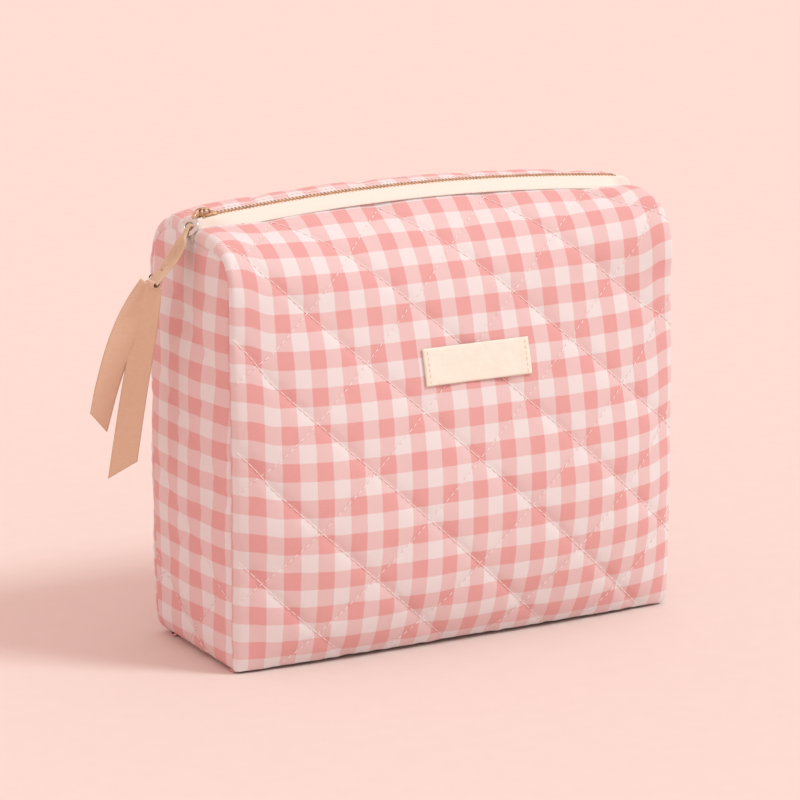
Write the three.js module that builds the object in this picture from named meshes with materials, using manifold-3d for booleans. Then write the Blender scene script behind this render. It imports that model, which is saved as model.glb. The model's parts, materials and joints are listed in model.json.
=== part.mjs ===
// A quilted, zipped makeup bag. Millimetres, +Z up, the front faces -Y, and the origin
// is the middle of the base. The slider rests at the left (-X) end of the zip.
import * as THREE from 'three';
import { mergeVertices } from 'three/addons/utils/BufferGeometryUtils.js';
import Module from 'manifold-3d';

const wasm = await Module();
wasm.setup();

// ---- driving dimensions -------------------------------------------------------------
const HALF_WIDTH = 115;          // bag, left to right
const HALF_BASE_DEPTH = 40;      // base, front to back
const FOLD_HEIGHT = 162;         // where the front and back fold when the mouth opens
const SIDE_HEIGHT = 186;         // top of the side panels
const BELLY = 17;                // how far the filled front and back stand out
const SIDE_BELLY = 3.5;
const CLEARANCE = 0.35;          // between neighbouring layers and panels
const COTTON = [0, 0.9];         // each layer, as depths below the outer skin
const WADDING = [1.25, 2.9];
const LINING = [3.25, 3.85];
const QUILT = [0, 2.9];          // cotton and wadding in one, on the small end pieces
const CORNER_INSET = 4.3;        // side and base panels stop inside the front and back
const FLAP_HALF = 98;            // the opening part of the top reaches this far each way
const SEAM_BINDING = { inset: [6.1, 6.6], half: 1.5, heights: [7.2, 158] };
const BASE_BINDING = { outer: [110.3, 35.2], width: 3, bottom: 4.2, depth: 2.5 };
const LABEL_GAP = 0.5;           // between the front's skin and the label

const ZIP_TOP = 204.3;           // chain height at mid-length
const ZIP_RADIUS = 1063;         // the zip arches gently over the bag
const CHAIN_END = 109.2;         // chain and stops, along the arch
const TAPE_END = 114.6;
const TAPE_DROP = 7.6;           // the tape ends run down to the seam across the side's top
const TAPE_LAP = 1.5;            // the tape's outer edge stands this far above the fabric's
const TOOTH_PITCH = 1.8;
const TOOTH = { width: 0.95, tip: 0.8, root: 2.45, halfHeight: 0.9 };
const CORD = { outer: 2.95 };

const SLIDER = { nose: -109.5, length: 8.5, halfWidth: 4, plate: 0.9, channel: 1.2 };
const BRIDGE = { window: 2.0, strap: 0.8, halfWidth: 0.8 };
const PIVOT = { along: -107.6, height: 3.1 };
const RING = { reach: 9.6, outer: 4.2, hole: 2.2, thickness: 1.1, tilt: 5.5 };
const TAB = { lean: 24.2, thickness: 1.2, loopInner: 1.45, loopWall: 0.8, holeDrop: 25.7 };
const RIBBON = { width: 12.5, thickness: 0.6 };
const LABEL = { x: 3.6, z: 131.3, halfWidth: 27.5, halfHeight: 8.2, thickness: 0.8 };

// ---- materials ----------------------------------------------------------------------
const material = (color, roughness = 0.9, metalness = 0) =>
  new THREE.MeshStandardMaterial({ color, roughness, metalness });
const gingham = () => material('#eab9b2');
const wadding = () => material('#f2efe8', 1);
const lining = () => material('#f3dfda');
const binding = () => material('#e9d3cb');
const tape = () => material('#efe6d6');
const brass = () => material('#a8835a', 0.35, 1);
const steel = () => material('#c9c7c2', 0.25, 1);
const leather = () => material('#cdb08c', 0.6);
const ribbonCloth = () => material('#d9bca0', 0.8);

const bag = new THREE.Group();

function addMesh(name, geometry, mat, parent = bag) {
  const mesh = new THREE.Mesh(geometry, mat);
  mesh.name = name;
  parent.add(mesh);
  return mesh;
}

// ---- closed solids ------------------------------------------------------------------
function closedGeometry(points, triangles) {
  let volume = 0;
  for (const [a, b, c] of triangles) {
    volume += points[a].dot(new THREE.Vector3().crossVectors(points[b], points[c])) / 6;
  }
  const outward = volume > 0 ? triangles : triangles.map(([a, b, c]) => [a, c, b]);
  const geometry = new THREE.BufferGeometry().setFromPoints(points);
  geometry.setIndex(outward.flat());
  return geometry;
}

// A layer of a soft wall: skinAt(u, v) gives a point of the outer skin and the way in.
function layer(skinAt, [near, far], uSteps, vSteps) {
  const points = [];
  for (const depth of [near, far]) {
    for (let j = 0; j <= vSteps; j++) {
      for (let i = 0; i <= uSteps; i++) {
        const { point, inward } = skinAt(i / uSteps, j / vSteps);
        points.push(point.clone().addScaledVector(inward, depth));
      }
    }
  }
  const row = uSteps + 1;
  const sheet = row * (vSteps + 1);
  const triangles = [];
  const quad = (a, b, c, d) => triangles.push([a, b, c], [a, c, d]);
  for (let j = 0; j < vSteps; j++) {
    for (let i = 0; i < uSteps; i++) {
      const a = j * row + i;
      quad(a, a + 1, a + row + 1, a + row);
      quad(sheet + a, sheet + a + row, sheet + a + row + 1, sheet + a + 1);
    }
  }
  for (let i = 0; i < uSteps; i++) {
    const top = vSteps * row + i;
    quad(i + 1, i, sheet + i, sheet + i + 1);
    quad(top, top + 1, sheet + top + 1, sheet + top);
  }
  for (let j = 0; j < vSteps; j++) {
    const left = j * row;
    const right = left + uSteps;
    quad(left, left + row, sheet + left + row, sheet + left);
    quad(right + row, right, sheet + right, sheet + right + row);
  }
  return closedGeometry(points, triangles);
}

// A strip with a rectangular section, lofted through rings of four corners.
function lofted(rings) {
  const points = rings.flat();
  const last = points.length - 4;
  const triangles = [[0, 1, 2], [0, 2, 3], [last, last + 2, last + 1], [last, last + 3, last + 2]];
  for (let k = 0; k < last; k += 4) {
    for (let c = 0; c < 4; c++) {
      const d = (c + 1) % 4;
      triangles.push([k + c, k + 4 + c, k + 4 + d], [k + c, k + 4 + d, k + d]);
    }
  }
  return closedGeometry(points, triangles);
}

function solid(geometry) {
  const bare = geometry.clone();
  bare.deleteAttribute('normal');
  bare.deleteAttribute('uv');
  const merged = mergeVertices(bare, 1e-4);
  const mesh = new wasm.Mesh({
    numProp: 3,
    vertProperties: new Float32Array(merged.attributes.position.array),
    triVerts: new Uint32Array(merged.index.array),
  });
  return new wasm.Manifold(mesh);
}

function fused(geometries) {
  const whole = geometries.map(solid).reduce((sum, next) => sum.add(next));
  const { vertProperties, triVerts } = whole.getMesh();
  const geometry = new THREE.BufferGeometry();
  geometry.setAttribute('position', new THREE.BufferAttribute(vertProperties, 3));
  geometry.setIndex(new THREE.BufferAttribute(triVerts, 1));
  return geometry;
}

function block([x0, x1], [y0, y1], [z0, z1]) {
  const box = new THREE.BoxGeometry(x1 - x0, y1 - y0, z1 - z0);
  return box.translate((x0 + x1) / 2, (y0 + y1) / 2, (z0 + z1) / 2);
}

// ---- the bag's skin -----------------------------------------------------------------
const { lerp } = THREE.MathUtils;
const spline = (points) => new THREE.SplineCurve(points.map(([y, z]) => new THREE.Vector2(y, z)));

// Half profiles of the top, as (distance from the zip line, height), fold to zip tape: at the
// bag's ends, and in the middle. The back stands as high as the zip before it turns down.
const END_EDGE = 191.5;
const END_PROFILE = spline([[40.5, 162], [39.4, 173], [36, 181.5], [29, 188], [18, 190.6], [9, END_EDGE]]);
const FRONT_TOP = {
  edge: 201.5,
  roundness: 2,
  middle: spline([[40.2, 162], [37.2, 169], [27, 185], [9, 201.5]]),
};
const BACK_TOP = {
  edge: 203.6,
  roundness: 3.2,
  middle: spline([[40.2, 162], [39.3, 172], [36, 185.5], [28.5, 197], [20, 203], [14, 204.6], [9, 203.6]]),
};
const topOf = (side) => (side < 0 ? FRONT_TOP : BACK_TOP);

const bellyAt = (z) => BELLY * Math.sin(Math.PI * (z / FOLD_HEIGHT) ** 0.72) ** 0.9;
const sideDepthAt = (z) => HALF_BASE_DEPTH + 1.2 * Math.sin((Math.PI * z) / FOLD_HEIGHT);
const fullness = (x) => 1 - Math.abs(x / HALF_WIDTH) ** 4.35;
const crown = (side, x) => {
  const { roundness } = topOf(side);
  return Math.max(0, 1 - Math.abs(x / HALF_WIDTH) ** roundness) ** (1 / roundness);
};

function endDepthAt(z) {
  if (z < FOLD_HEIGHT) return sideDepthAt(z);
  let low = 0;
  let high = 1;
  for (let n = 0; n < 24; n++) {
    const middle = (low + high) / 2;
    if (END_PROFILE.getPoint(middle).y < z) low = middle;
    else high = middle;
  }
  return END_PROFILE.getPoint(low).x;
}

// The front (side = -1) or back (side = 1) wall below the fold.
const wall = (side) => (u, v) => {
  const x = lerp(-HALF_WIDTH, HALF_WIDTH, u);
  const z = lerp(0, FOLD_HEIGHT - CLEARANCE, v);
  const depth = sideDepthAt(z) + fullness(x) * Math.max(0, bellyAt(z));
  return { point: new THREE.Vector3(x, side * depth, z), inward: new THREE.Vector3(0, -side, 0) };
};

// The top above the fold, between two stations along the width.
const topWall = (side, x0, x1) => (u, v) => {
  const x = lerp(x0, x1, u);
  const { middle } = topOf(side);
  const at = (t) => END_PROFILE.getPoint(t).lerp(middle.getPoint(t), crown(side, x));
  const here = at(v);
  const along = at(Math.min(1, v + 0.02)).sub(at(Math.max(0, v - 0.02))).normalize();
  const square = new THREE.Vector3(0, -side * along.y, along.x);
  const inward = new THREE.Vector3(0, -side, 0).lerp(square, Math.min(1, 4 * v)).normalize();
  const point = new THREE.Vector3(x, side * here.x, here.y + CLEARANCE / 2);
  return { point, inward };
};

const sidePanel = (side) => (u, v) => {
  const z = SIDE_HEIGHT * v;
  const halfDepth = endDepthAt(z + 4.2) - CORNER_INSET;
  const swell = SIDE_BELLY * Math.sin(Math.PI * v) * (1 - (2 * u - 1) ** 2);
  const point = new THREE.Vector3(side * (HALF_WIDTH + swell), lerp(-halfDepth, halfDepth, u), z);
  return { point, inward: new THREE.Vector3(-side, 0, 0) };
};

function addLayers(name, skin, uSteps, vSteps) {
  addMesh(`${name}_panel`, layer(skin, COTTON, uSteps, vSteps), gingham());
  addMesh(`${name}_wadding`, layer(skin, WADDING, uSteps, vSteps), wadding());
  addMesh(`${name}_lining`, layer(skin, LINING, uSteps, vSteps), lining());
}

function addPanels() {
  addLayers('front', wall(-1), 12, 8);
  addLayers('back', wall(1), 12, 8);
  addLayers('left_side', sidePanel(-1), 4, 10);
  addLayers('right_side', sidePanel(1), 4, 10);
  addLayers('front_top', topWall(-1, -FLAP_HALF, FLAP_HALF), 10, 6);
  addLayers('back_top', topWall(1, -FLAP_HALF, FLAP_HALF), 10, 6);
  const inner = FLAP_HALF + CLEARANCE;
  for (const [name, side] of [['front', -1], ['back', 1]]) {
    const left = topWall(side, -HALF_WIDTH, -inner);
    const right = topWall(side, inner, HALF_WIDTH);
    addMesh(`${name}_top_left_end`, layer(left, QUILT, 4, 6), gingham());
    addMesh(`${name}_top_right_end`, layer(right, QUILT, 4, 6), gingham());
  }
}

function addBase() {
  const x = HALF_WIDTH - CORNER_INSET;
  const y = HALF_BASE_DEPTH - CORNER_INSET;
  const sheet = (range) => block([-x, x], [-y, y], range);
  addMesh('base_panel', sheet(COTTON), gingham());
  addMesh('base_wadding', sheet(WADDING), wadding());
  addMesh('base_lining', sheet(LINING), lining());
}

// Bias tape over the raw seams inside the bag.
function addBindings() {
  const { inset, half, heights } = SEAM_BINDING;
  for (const [name, sx, sy] of [
    ['front_left', -1, -1], ['front_right', 1, -1], ['back_left', -1, 1], ['back_right', 1, 1],
  ]) {
    const x = sx * (HALF_WIDTH - inset[0]);
    const y = sy * (HALF_BASE_DEPTH - inset[1]);
    const upright = block([x - half, x + half], [y - half, y + half], heights);
    addMesh(`${name}_seam_binding`, upright, binding());
  }
  const { outer, width, bottom, depth } = BASE_BINDING;
  const ring = rectangle(...outer);
  ring.holes.push(rectangle(outer[0] - width, outer[1] - width));
  const strip = new THREE.ExtrudeGeometry(ring, { depth, bevelEnabled: false });
  addMesh('base_seam_binding', strip.translate(0, 0, bottom), binding());
}

function rectangle(halfX, halfY, middle = 0) {
  const corners = [[-1, -1], [1, -1], [1, 1], [-1, 1]];
  return new THREE.Shape(corners.map(([a, b]) => new THREE.Vector2(middle + a * halfX, b * halfY)));
}

function addLabel() {
  const skin = (u, v) => {
    const x = LABEL.x + LABEL.halfWidth * (2 * u - 1);
    const z = LABEL.z + LABEL.halfHeight * (2 * v - 1);
    return wall(-1)((x / HALF_WIDTH + 1) / 2, z / (FOLD_HEIGHT - CLEARANCE));
  };
  const range = [-LABEL_GAP - LABEL.thickness, -LABEL_GAP];
  addMesh('front_label', layer(skin, range, 6, 2), tape());
}

// ---- the zip, drawn flat as (along, across, height above the chain), then arched -----
const ZIP_CENTRE = ZIP_TOP - ZIP_RADIUS;

function archPoint(along, across, height) {
  const turn = along / ZIP_RADIUS;
  const r = ZIP_RADIUS + height;
  return new THREE.Vector3(r * Math.sin(turn), across, ZIP_CENTRE + r * Math.cos(turn));
}

function arched(geometry) {
  const p = geometry.attributes.position;
  for (let i = 0; i < p.count; i++) {
    const q = archPoint(p.getX(i), p.getY(i), p.getZ(i));
    p.setXYZ(i, q.x, q.y, q.z);
  }
  return geometry;
}

// Tape between two stations: level by the chain, then down to the fabric's edge.
function tapeStrip(side, s0, s1, steps) {
  const fall = (s) => {
    const past = Math.max(0, (Math.abs(s) - CHAIN_END - 0.3) / (TAPE_END - CHAIN_END - 0.3));
    return TAPE_DROP * past;
  };
  const skin = (u, v) => {
    const s = lerp(s0, s1, u);
    const beyond = Math.min(1, Math.max(0, (Math.abs(s) - CHAIN_END - 1.6) / 1.5));
    const across = [lerp(3.3, 0.4, beyond), 4.8, 8.3][Math.round(2 * v)];
    const fabricEdge = lerp(END_EDGE, topOf(side).edge, crown(side, s));
    const chain = ZIP_TOP - s ** 2 / (2 * ZIP_RADIUS);
    const slope = Math.max(0, chain - TAPE_LAP - fabricEdge - fall(s));
    const height = 0.25 - fall(s) - (v > 0.9 ? slope : 0);
    return {
      point: new THREE.Vector3(s, side * across, height),
      inward: new THREE.Vector3(0, 0, -1),
    };
  };
  return arched(layer(skin, [0, 0.5], steps, 2));
}

// A flat plate of four-sided cells, thickened both ways. An edge that only one cell has gets a wall.
function cellPlate(plan, cells, halfHeight) {
  const points = [-halfHeight, halfHeight].flatMap((h) => plan.map(([s, y]) => new THREE.Vector3(s, y, h)));
  const above = plan.length;
  const edges = new Set(cells.flatMap((cell) => cell.map((a, k) => `${a},${cell[(k + 1) % 4]}`)));
  const triangles = [];
  for (const [a, b, c, d] of cells) {
    triangles.push([a, c, b], [a, d, c]);
    triangles.push([above + a, above + b, above + c], [above + a, above + c, above + d]);
  }
  for (const edge of edges) {
    const [a, b] = edge.split(',').map(Number);
    if (!edges.has(`${b},${a}`)) triangles.push([a, b, above + b], [a, above + b, above + a]);
  }
  return closedGeometry(points, triangles);
}

// One row of teeth on its cord: a comb that follows the arch tooth by tooth.
function toothRow(side, s0, s1) {
  const count = Math.floor((s1 - s0) / TOOTH_PITCH);
  const margin = (s1 - s0 - (count - 1) * TOOTH_PITCH - TOOTH.width) / 2;
  const stations = [s0];
  for (let n = 0; n < count; n++) {
    const start = s0 + margin + n * TOOTH_PITCH;
    stations.push(start, start + TOOTH.width);
  }
  stations.push(s1);
  const plan = stations.flatMap((s) => [[s, side * CORD.outer], [s, side * TOOTH.root]]);
  const cells = [];
  for (let k = 0; k + 1 < stations.length; k++) {
    const [outer, root, nextOuter, nextRoot] = [2 * k, 2 * k + 1, 2 * k + 2, 2 * k + 3];
    cells.push([root, nextRoot, nextOuter, outer]);
    if (k % 2 === 1) {
      const tip = plan.push([stations[k], side * TOOTH.tip], [stations[k + 1], side * TOOTH.tip]) - 2;
      cells.push([tip, tip + 1, nextRoot, root]);
    }
  }
  return arched(cellPlate(plan, cells, TOOTH.halfHeight));
}

function addZip() {
  const join = FLAP_HALF + CLEARANCE;
  for (const [name, side] of [['front', -1], ['back', 1]]) {
    addMesh(`${name}_zip_tape`, tapeStrip(side, -FLAP_HALF, FLAP_HALF, 16), tape());
    addMesh(`${name}_zip_teeth`, toothRow(side, -FLAP_HALF, FLAP_HALF), brass());
    for (const [end, s0, s1] of [['left', -TAPE_END, -join], ['right', join, TAPE_END]]) {
      addMesh(`${name}_zip_tape_${end}_end`, tapeStrip(side, s0, s1, 11), tape());
    }
    const left = toothRow(side, -CHAIN_END + 1.6, -join);
    addMesh(`${name}_zip_teeth_left_end`, left, brass());
    addMesh(`${name}_zip_teeth_right_end`, toothRow(side, join, CHAIN_END - 0.2), brass());
    const stop = block([-CHAIN_END, -CHAIN_END + 1.2], [0.8, 2.9], [-0.95, 0.95]);
    addMesh(`${name}_zip_top_stop`, arched(stop.translate(0, side < 0 ? -3.7 : 0, 0)), brass());
  }
}

// The slider: two plates with turned edges, held together by a post, and a bridge.
function addSlider() {
  const { nose, length, halfWidth, plate, channel } = SLIDER;
  const tail = nose + length;
  const roof = channel + plate;
  const plateShape = new THREE.Shape();
  plateShape.moveTo(nose, -2.6);
  plateShape.quadraticCurveTo(nose + 0.4, -halfWidth, nose + 2.6, -halfWidth);
  plateShape.lineTo(tail, -3.6);
  plateShape.lineTo(tail, 3.6);
  plateShape.lineTo(nose + 2.6, halfWidth);
  plateShape.quadraticCurveTo(nose + 0.4, halfWidth, nose, 2.6);
  plateShape.closePath();
  const cut = { depth: plate, bevelEnabled: false, curveSegments: 4 };
  const post = block([nose + 3.0, nose + 4.4], [-0.45, 0.45], [-channel - 0.2, channel + 0.2]);
  const pieces = [
    new THREE.ExtrudeGeometry(plateShape, cut).translate(0, 0, channel),
    new THREE.ExtrudeGeometry(plateShape, cut).translate(0, 0, -roof),
    post,
  ];
  for (const y of [[-halfWidth + 0.4, -halfWidth + 0.9], [halfWidth - 0.9, halfWidth - 0.4]]) {
    pieces.push(block([nose + 2.2, tail - 0.2], y, [0.75, channel + 0.3]));
    pieces.push(block([nose + 2.2, tail - 0.2], y, [-channel - 0.3, -0.75]));
  }
  const { window, strap, halfWidth: bridgeHalf } = BRIDGE;
  const across = [-bridgeHalf, bridgeHalf];
  const foot = roof + window + strap;
  pieces.push(block([nose + 0.3, nose + 0.3 + strap], across, [roof - 0.3, foot]));
  pieces.push(block([tail - 1.6, tail - 0.8], across, [roof - 0.3, foot]));
  pieces.push(block([nose + 0.3, tail - 0.8], across, [roof + window, foot]));
  addMesh('zip_slider', arched(fused(pieces)), brass());
}

const ARCH_TILT = PIVOT.along / ZIP_RADIUS;

// The puller: a flat plate on the bridge that ends in a ring.
function addPuller() {
  const outline = new THREE.Shape();
  const neck = Math.asin(1.6 / RING.outer);
  outline.moveTo(0.7, -2.1);
  outline.lineTo(0.7, 2.1);
  outline.lineTo(-3.4, 2.1);
  outline.lineTo(-4.2, 1.6);
  outline.absarc(-RING.reach, 0, RING.outer, neck, 2 * Math.PI - neck, false);
  outline.lineTo(-4.2, -1.6);
  outline.lineTo(-3.4, -2.1);
  outline.closePath();
  const slot = rectangle(0.95, 1.25, -1.6);
  const eye = new THREE.Path();
  eye.absarc(-RING.reach, 0, RING.hole, 0, 2 * Math.PI, true);
  outline.holes.push(slot, eye);
  const cut = { depth: RING.thickness, bevelEnabled: false, curveSegments: 24 };
  const plate = new THREE.ExtrudeGeometry(outline, cut).translate(0, 0, -RING.thickness / 2);
  const mesh = addMesh('zip_puller', plate, steel());
  mesh.position.copy(archPoint(PIVOT.along, 0, PIVOT.height));
  mesh.rotation.y = -(THREE.MathUtils.degToRad(RING.tilt) - ARCH_TILT);
}

// Where the tab's loop holds the far rim of the ring.
const rimReach = RING.reach + (RING.outer + RING.hole) / 2;
const slopeDown = THREE.MathUtils.degToRad(RING.tilt) - ARCH_TILT;
const rim = archPoint(PIVOT.along, 0, PIVOT.height).add(
  new THREE.Vector3(-Math.cos(slopeDown), 0, -Math.sin(slopeDown)).multiplyScalar(rimReach));

function annulus(outer, inner, width) {
  const ring = new THREE.Shape().absarc(0, 0, outer, 0, 2 * Math.PI, false);
  ring.holes.push(new THREE.Path().absarc(0, 0, inner, 0, 2 * Math.PI, true));
  const cut = { depth: width, bevelEnabled: false, curveSegments: 20 };
  return new THREE.ExtrudeGeometry(ring, cut).translate(0, 0, -width / 2).rotateX(Math.PI / 2);
}

// A leather tab that hangs from the ring, with a slot for the ribbon at its foot.
function addTab(hanger) {
  const half = [[1.6, -1.9], [1.6, -4.6], [6.3, -9], [6.3, -19.5], [3.4, -23], [3, -26.8]];
  const mirrored = half.map(([y, z]) => [-y, z]).reverse();
  const outline = new THREE.Shape([...half, ...mirrored].map(([y, z]) => new THREE.Vector2(y, z)));
  const slot = [[-1.7, -24.6], [1.7, -24.6], [1.7, -21.9], [-1.7, -21.9]];
  outline.holes.push(new THREE.Path(slot.map(([y, z]) => new THREE.Vector2(y, z))));
  const cut = { depth: TAB.thickness, bevelEnabled: false };
  const plate = new THREE.ExtrudeGeometry(outline, cut).translate(0, 0, -TAB.thickness / 2);
  plate.rotateX(Math.PI / 2).rotateZ(Math.PI / 2);
  const loop = annulus(TAB.loopInner + TAB.loopWall, TAB.loopInner, 2);
  addMesh('pull_tab', fused([plate, loop]), leather(), hanger);
}

function addRibbon(hanger) {
  const loop = annulus(2.3, 1.5, 2.4).translate(0, 0, -TAB.holeDrop);
  const knot = new THREE.SphereGeometry(3, 10, 8).translate(0, 0, -TAB.holeDrop - 4.6);
  addMesh('ribbon_knot', fused([loop, knot]), ribbonCloth(), hanger);
}

// A ribbon tail through hand-set points, cut at a slant.
function ribbonTail(points, across, slant) {
  const route = new THREE.CatmullRomCurve3(points.map((p) => new THREE.Vector3(...p)));
  const wide = new THREE.Vector3(...across).normalize();
  const steps = 10;
  const rings = [];
  for (let n = 0; n <= steps; n++) {
    const centre = route.getPoint(n / steps);
    const along = route.getTangent(n / steps);
    const thick = new THREE.Vector3().crossVectors(along, wide).normalize();
    rings.push([[-1, -1], [1, -1], [1, 1], [-1, 1]].map(([w, t]) => {
      const corner = centre.clone().addScaledVector(wide, (w * RIBBON.width) / 2);
      corner.addScaledVector(thick, (t * RIBBON.thickness) / 2);
      return corner.addScaledVector(along, n === steps ? (w * slant) / 2 : 0);
    }));
  }
  return lofted(rings);
}

function addPull() {
  addSlider();
  addPuller();
  const hanger = new THREE.Group();
  hanger.position.copy(rim);
  hanger.rotation.y = THREE.MathUtils.degToRad(TAB.lean);
  bag.add(hanger);
  addTab(hanger);
  addRibbon(hanger);
  const front = [[-134.5, -1.6, 166.5], [-137, 1, 146], [-141, 5, 118], [-144.5, 8.5, 91.5]];
  const back = [[-136.6, 3, 166.5], [-140.3, 7, 149], [-144.8, 11.5, 128], [-149, 15.5, 108]];
  addMesh('ribbon_front_tail', ribbonTail(front, [0.8, -0.6, 0], -10), ribbonCloth());
  addMesh('ribbon_back_tail', ribbonTail(back, [0.86, -0.5, 0], 11), ribbonCloth());
}

addPanels();
addBase();
addBindings();
addLabel();
addZip();
addPull();

export default bag;
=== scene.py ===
import json
import math

import bpy
import numpy as np
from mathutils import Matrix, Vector


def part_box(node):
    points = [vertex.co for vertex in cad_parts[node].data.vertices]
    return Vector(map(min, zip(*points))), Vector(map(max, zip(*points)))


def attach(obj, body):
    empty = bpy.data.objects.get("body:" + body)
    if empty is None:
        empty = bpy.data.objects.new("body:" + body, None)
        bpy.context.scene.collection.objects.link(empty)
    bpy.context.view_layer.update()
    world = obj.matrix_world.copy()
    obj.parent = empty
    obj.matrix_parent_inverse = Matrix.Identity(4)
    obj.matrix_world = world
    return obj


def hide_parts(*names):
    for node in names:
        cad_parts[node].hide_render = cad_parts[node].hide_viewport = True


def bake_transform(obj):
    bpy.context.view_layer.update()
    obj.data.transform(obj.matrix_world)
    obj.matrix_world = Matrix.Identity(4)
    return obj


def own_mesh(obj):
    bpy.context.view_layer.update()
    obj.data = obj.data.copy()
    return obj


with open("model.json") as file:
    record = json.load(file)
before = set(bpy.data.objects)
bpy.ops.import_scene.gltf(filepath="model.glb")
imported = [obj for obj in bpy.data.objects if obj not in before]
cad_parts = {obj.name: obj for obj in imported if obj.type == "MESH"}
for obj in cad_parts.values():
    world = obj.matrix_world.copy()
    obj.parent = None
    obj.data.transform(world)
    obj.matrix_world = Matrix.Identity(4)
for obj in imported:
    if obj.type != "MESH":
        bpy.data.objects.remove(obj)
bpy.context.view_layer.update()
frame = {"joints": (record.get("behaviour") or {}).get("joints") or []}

MM = 0.001
FRONT, BACK = -1, 1


# ---- the frame's sizes ---------------------------------------------------------------
def box_mm(node):
    low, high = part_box(node)
    return np.array(low) / MM, np.array(high) / MM


JOINTS = {joint["name"]: joint for joint in frame["joints"]}
HINGE = np.array(JOINTS["front_flap_open"]["pos_m"]) / MM
HALF_WIDTH = box_mm("front_panel")[1][0]
FOLD_HEIGHT = HINGE[2]
LABEL_LOW, LABEL_HIGH = box_mm("front_label")
PIVOT = np.array(JOINTS["puller_swing"]["pos_m"]) / MM
ZIP_CENTRE = JOINTS["slider_travel"]["pos_m"][2] / MM

# The bag's shape, as in the CAD model.
HALF_BASE_DEPTH = 40
BELLY = 17
SIDE_BELLY = 3.5
ZIP_TOP = 204.3
ZIP_RADIUS = ZIP_TOP - ZIP_CENTRE
CHAIN_END = 109.2
TOOTH_PITCH = 1.8

# What only the visual model has.
GRID = 1.15                      # spacing of the quilted skins' vertices
CLOTH_WIDTH = 248                # the front's cloth, seam to seam
CLOTH_HEIGHT = 213.5             # base seam to zip
CHECK = 16                       # one white and one pink stripe
QUILT_RUN, QUILT_RISE = 55.7, 47.2
QUILT_SPACING = 1 / math.hypot(1 / QUILT_RUN, 1 / QUILT_RISE)
QUILT_THICKNESS = 2.5
SEAM_ROLL = 2.6                  # radius of the cloth's turn into the upright seams
ZIP_ROLL = 1.1
ZIP_EDGE = 9                     # the cloth's edge beside the zip, from its middle
ZIP_SAG = HALF_WIDTH**2 / 2 / ZIP_RADIUS

# For each side: the turn at the base, the turn over the bag's ends beside the zip, and the top's
# half profiles (distance from the zip line, height) at the ends and in the middle.
FRONT_SHAPE = {
    "base_roll": 1.8, "end_roll": 4.8, "corner": 4.5,
    "end": [(40.5, 162), (40.4, 173), (38.4, 183), (32, 190.3), (21, 194.2), (9, 201 - ZIP_SAG)],
    "middle": [(40.2, 162), (37.2, 169), (27, 185), (9, 201.5)]}
BACK_SHAPE = {
    "base_roll": 4.5, "end_roll": 5.4, "corner": 11,
    "end": [(40.5, 162), (39.6, 173), (36.4, 184), (29.5, 192), (21, 196.6), (14, 197.4), (9, 203 - ZIP_SAG)],
    "middle": [(40.2, 162), (39.3, 172), (36, 185.5), (28.5, 197.5), (20, 203.7), (14, 205), (9, 203.7)]}
SHAPES = {FRONT: FRONT_SHAPE, BACK: BACK_SHAPE}
QUILT_SHIFT = {FRONT: (42.2, 161.2), BACK: (60.0, 150.0)}     # a crossing of two quilting lines
WALL_SEED = {FRONT: 5, BACK: 15}
SEAM_TURN, BASE_TURN, ZIP_TURN = 168, 135, 160                # degrees that a wall's edges turn in
ZIP_STEPS = 5
SEAM_STEPS, SEAM_MEETS = 12, 5   # steps of the turn into a seam, and the one that meets the side


# ---- number helpers ------------------------------------------------------------------
def smoothstep(t):
    t = np.clip(t, 0, 1)
    return t * t * (3 - 2 * t)


def lerp(a, b, t):
    return a + (b - a) * t


def spline(points, t):
    """A uniform Catmull-Rom curve through points, at each t from 0 to 1."""
    points = np.array(points, float)
    t = np.atleast_1d(t)
    last = len(points) - 1
    place = np.clip(t, 0, 1) * last
    start = np.minimum(place.astype(int), last - 1)
    f = (place - start)[:, None]
    p0, p1 = points[np.maximum(start - 1, 0)], points[start]
    p2, p3 = points[start + 1], points[np.minimum(start + 2, last)]
    v0, v1 = (p2 - p0) / 2, (p3 - p1) / 2
    return (2 * p1 - 2 * p2 + v0 + v1) * f**3 + (3 * p2 - 3 * p1 - 2 * v0 - v1) * f**2 + v0 * f + p1


def unit(vectors):
    return vectors / np.maximum(np.linalg.norm(vectors, axis=-1, keepdims=True), 1e-9)


def lengths_along(points):
    steps = np.linalg.norm(np.diff(points, axis=0), axis=1)
    return np.concatenate([[0], np.cumsum(steps)])


def respaced(points, count):
    along = lengths_along(points)
    places = np.linspace(0, along[-1], count)
    return np.stack([np.interp(places, along, column) for column in points.T], axis=1)


def ripple(u, v, seed, wave, parts=7):
    """A smooth, repeatable unevenness of about -1 to 1."""
    rng = np.random.default_rng(seed)
    total = 0
    for angle, stretch, phase in zip(rng.uniform(0, math.pi, parts), rng.uniform(0.6, 1.5, parts),
                                     rng.uniform(0, 2 * math.pi, parts)):
        turn = 2 * math.pi / (wave * stretch)
        total = total + np.sin(turn * (u * math.cos(angle) + v * math.sin(angle)) + phase)
    return total / math.sqrt(parts) / 1.4


# ---- mesh helpers --------------------------------------------------------------------
def add_mesh(name, points, faces, material, cloth=None, smooth=True):
    mesh = bpy.data.meshes.new(name)
    mesh.from_pydata((np.asarray(points, float) * MM).tolist(), [], [tuple(f) for f in faces])
    if cloth is not None:
        placed = np.zeros((len(points), 3), np.float32)
        placed[:, :2] = cloth
        mesh.attributes.new("cloth", "FLOAT_VECTOR", "POINT").data.foreach_set("vector", placed.ravel())
    mesh.materials.append(material)
    if smooth:
        mesh.shade_smooth()
    obj = bpy.data.objects.new(name, mesh)
    bpy.context.scene.collection.objects.link(obj)
    return obj


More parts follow.
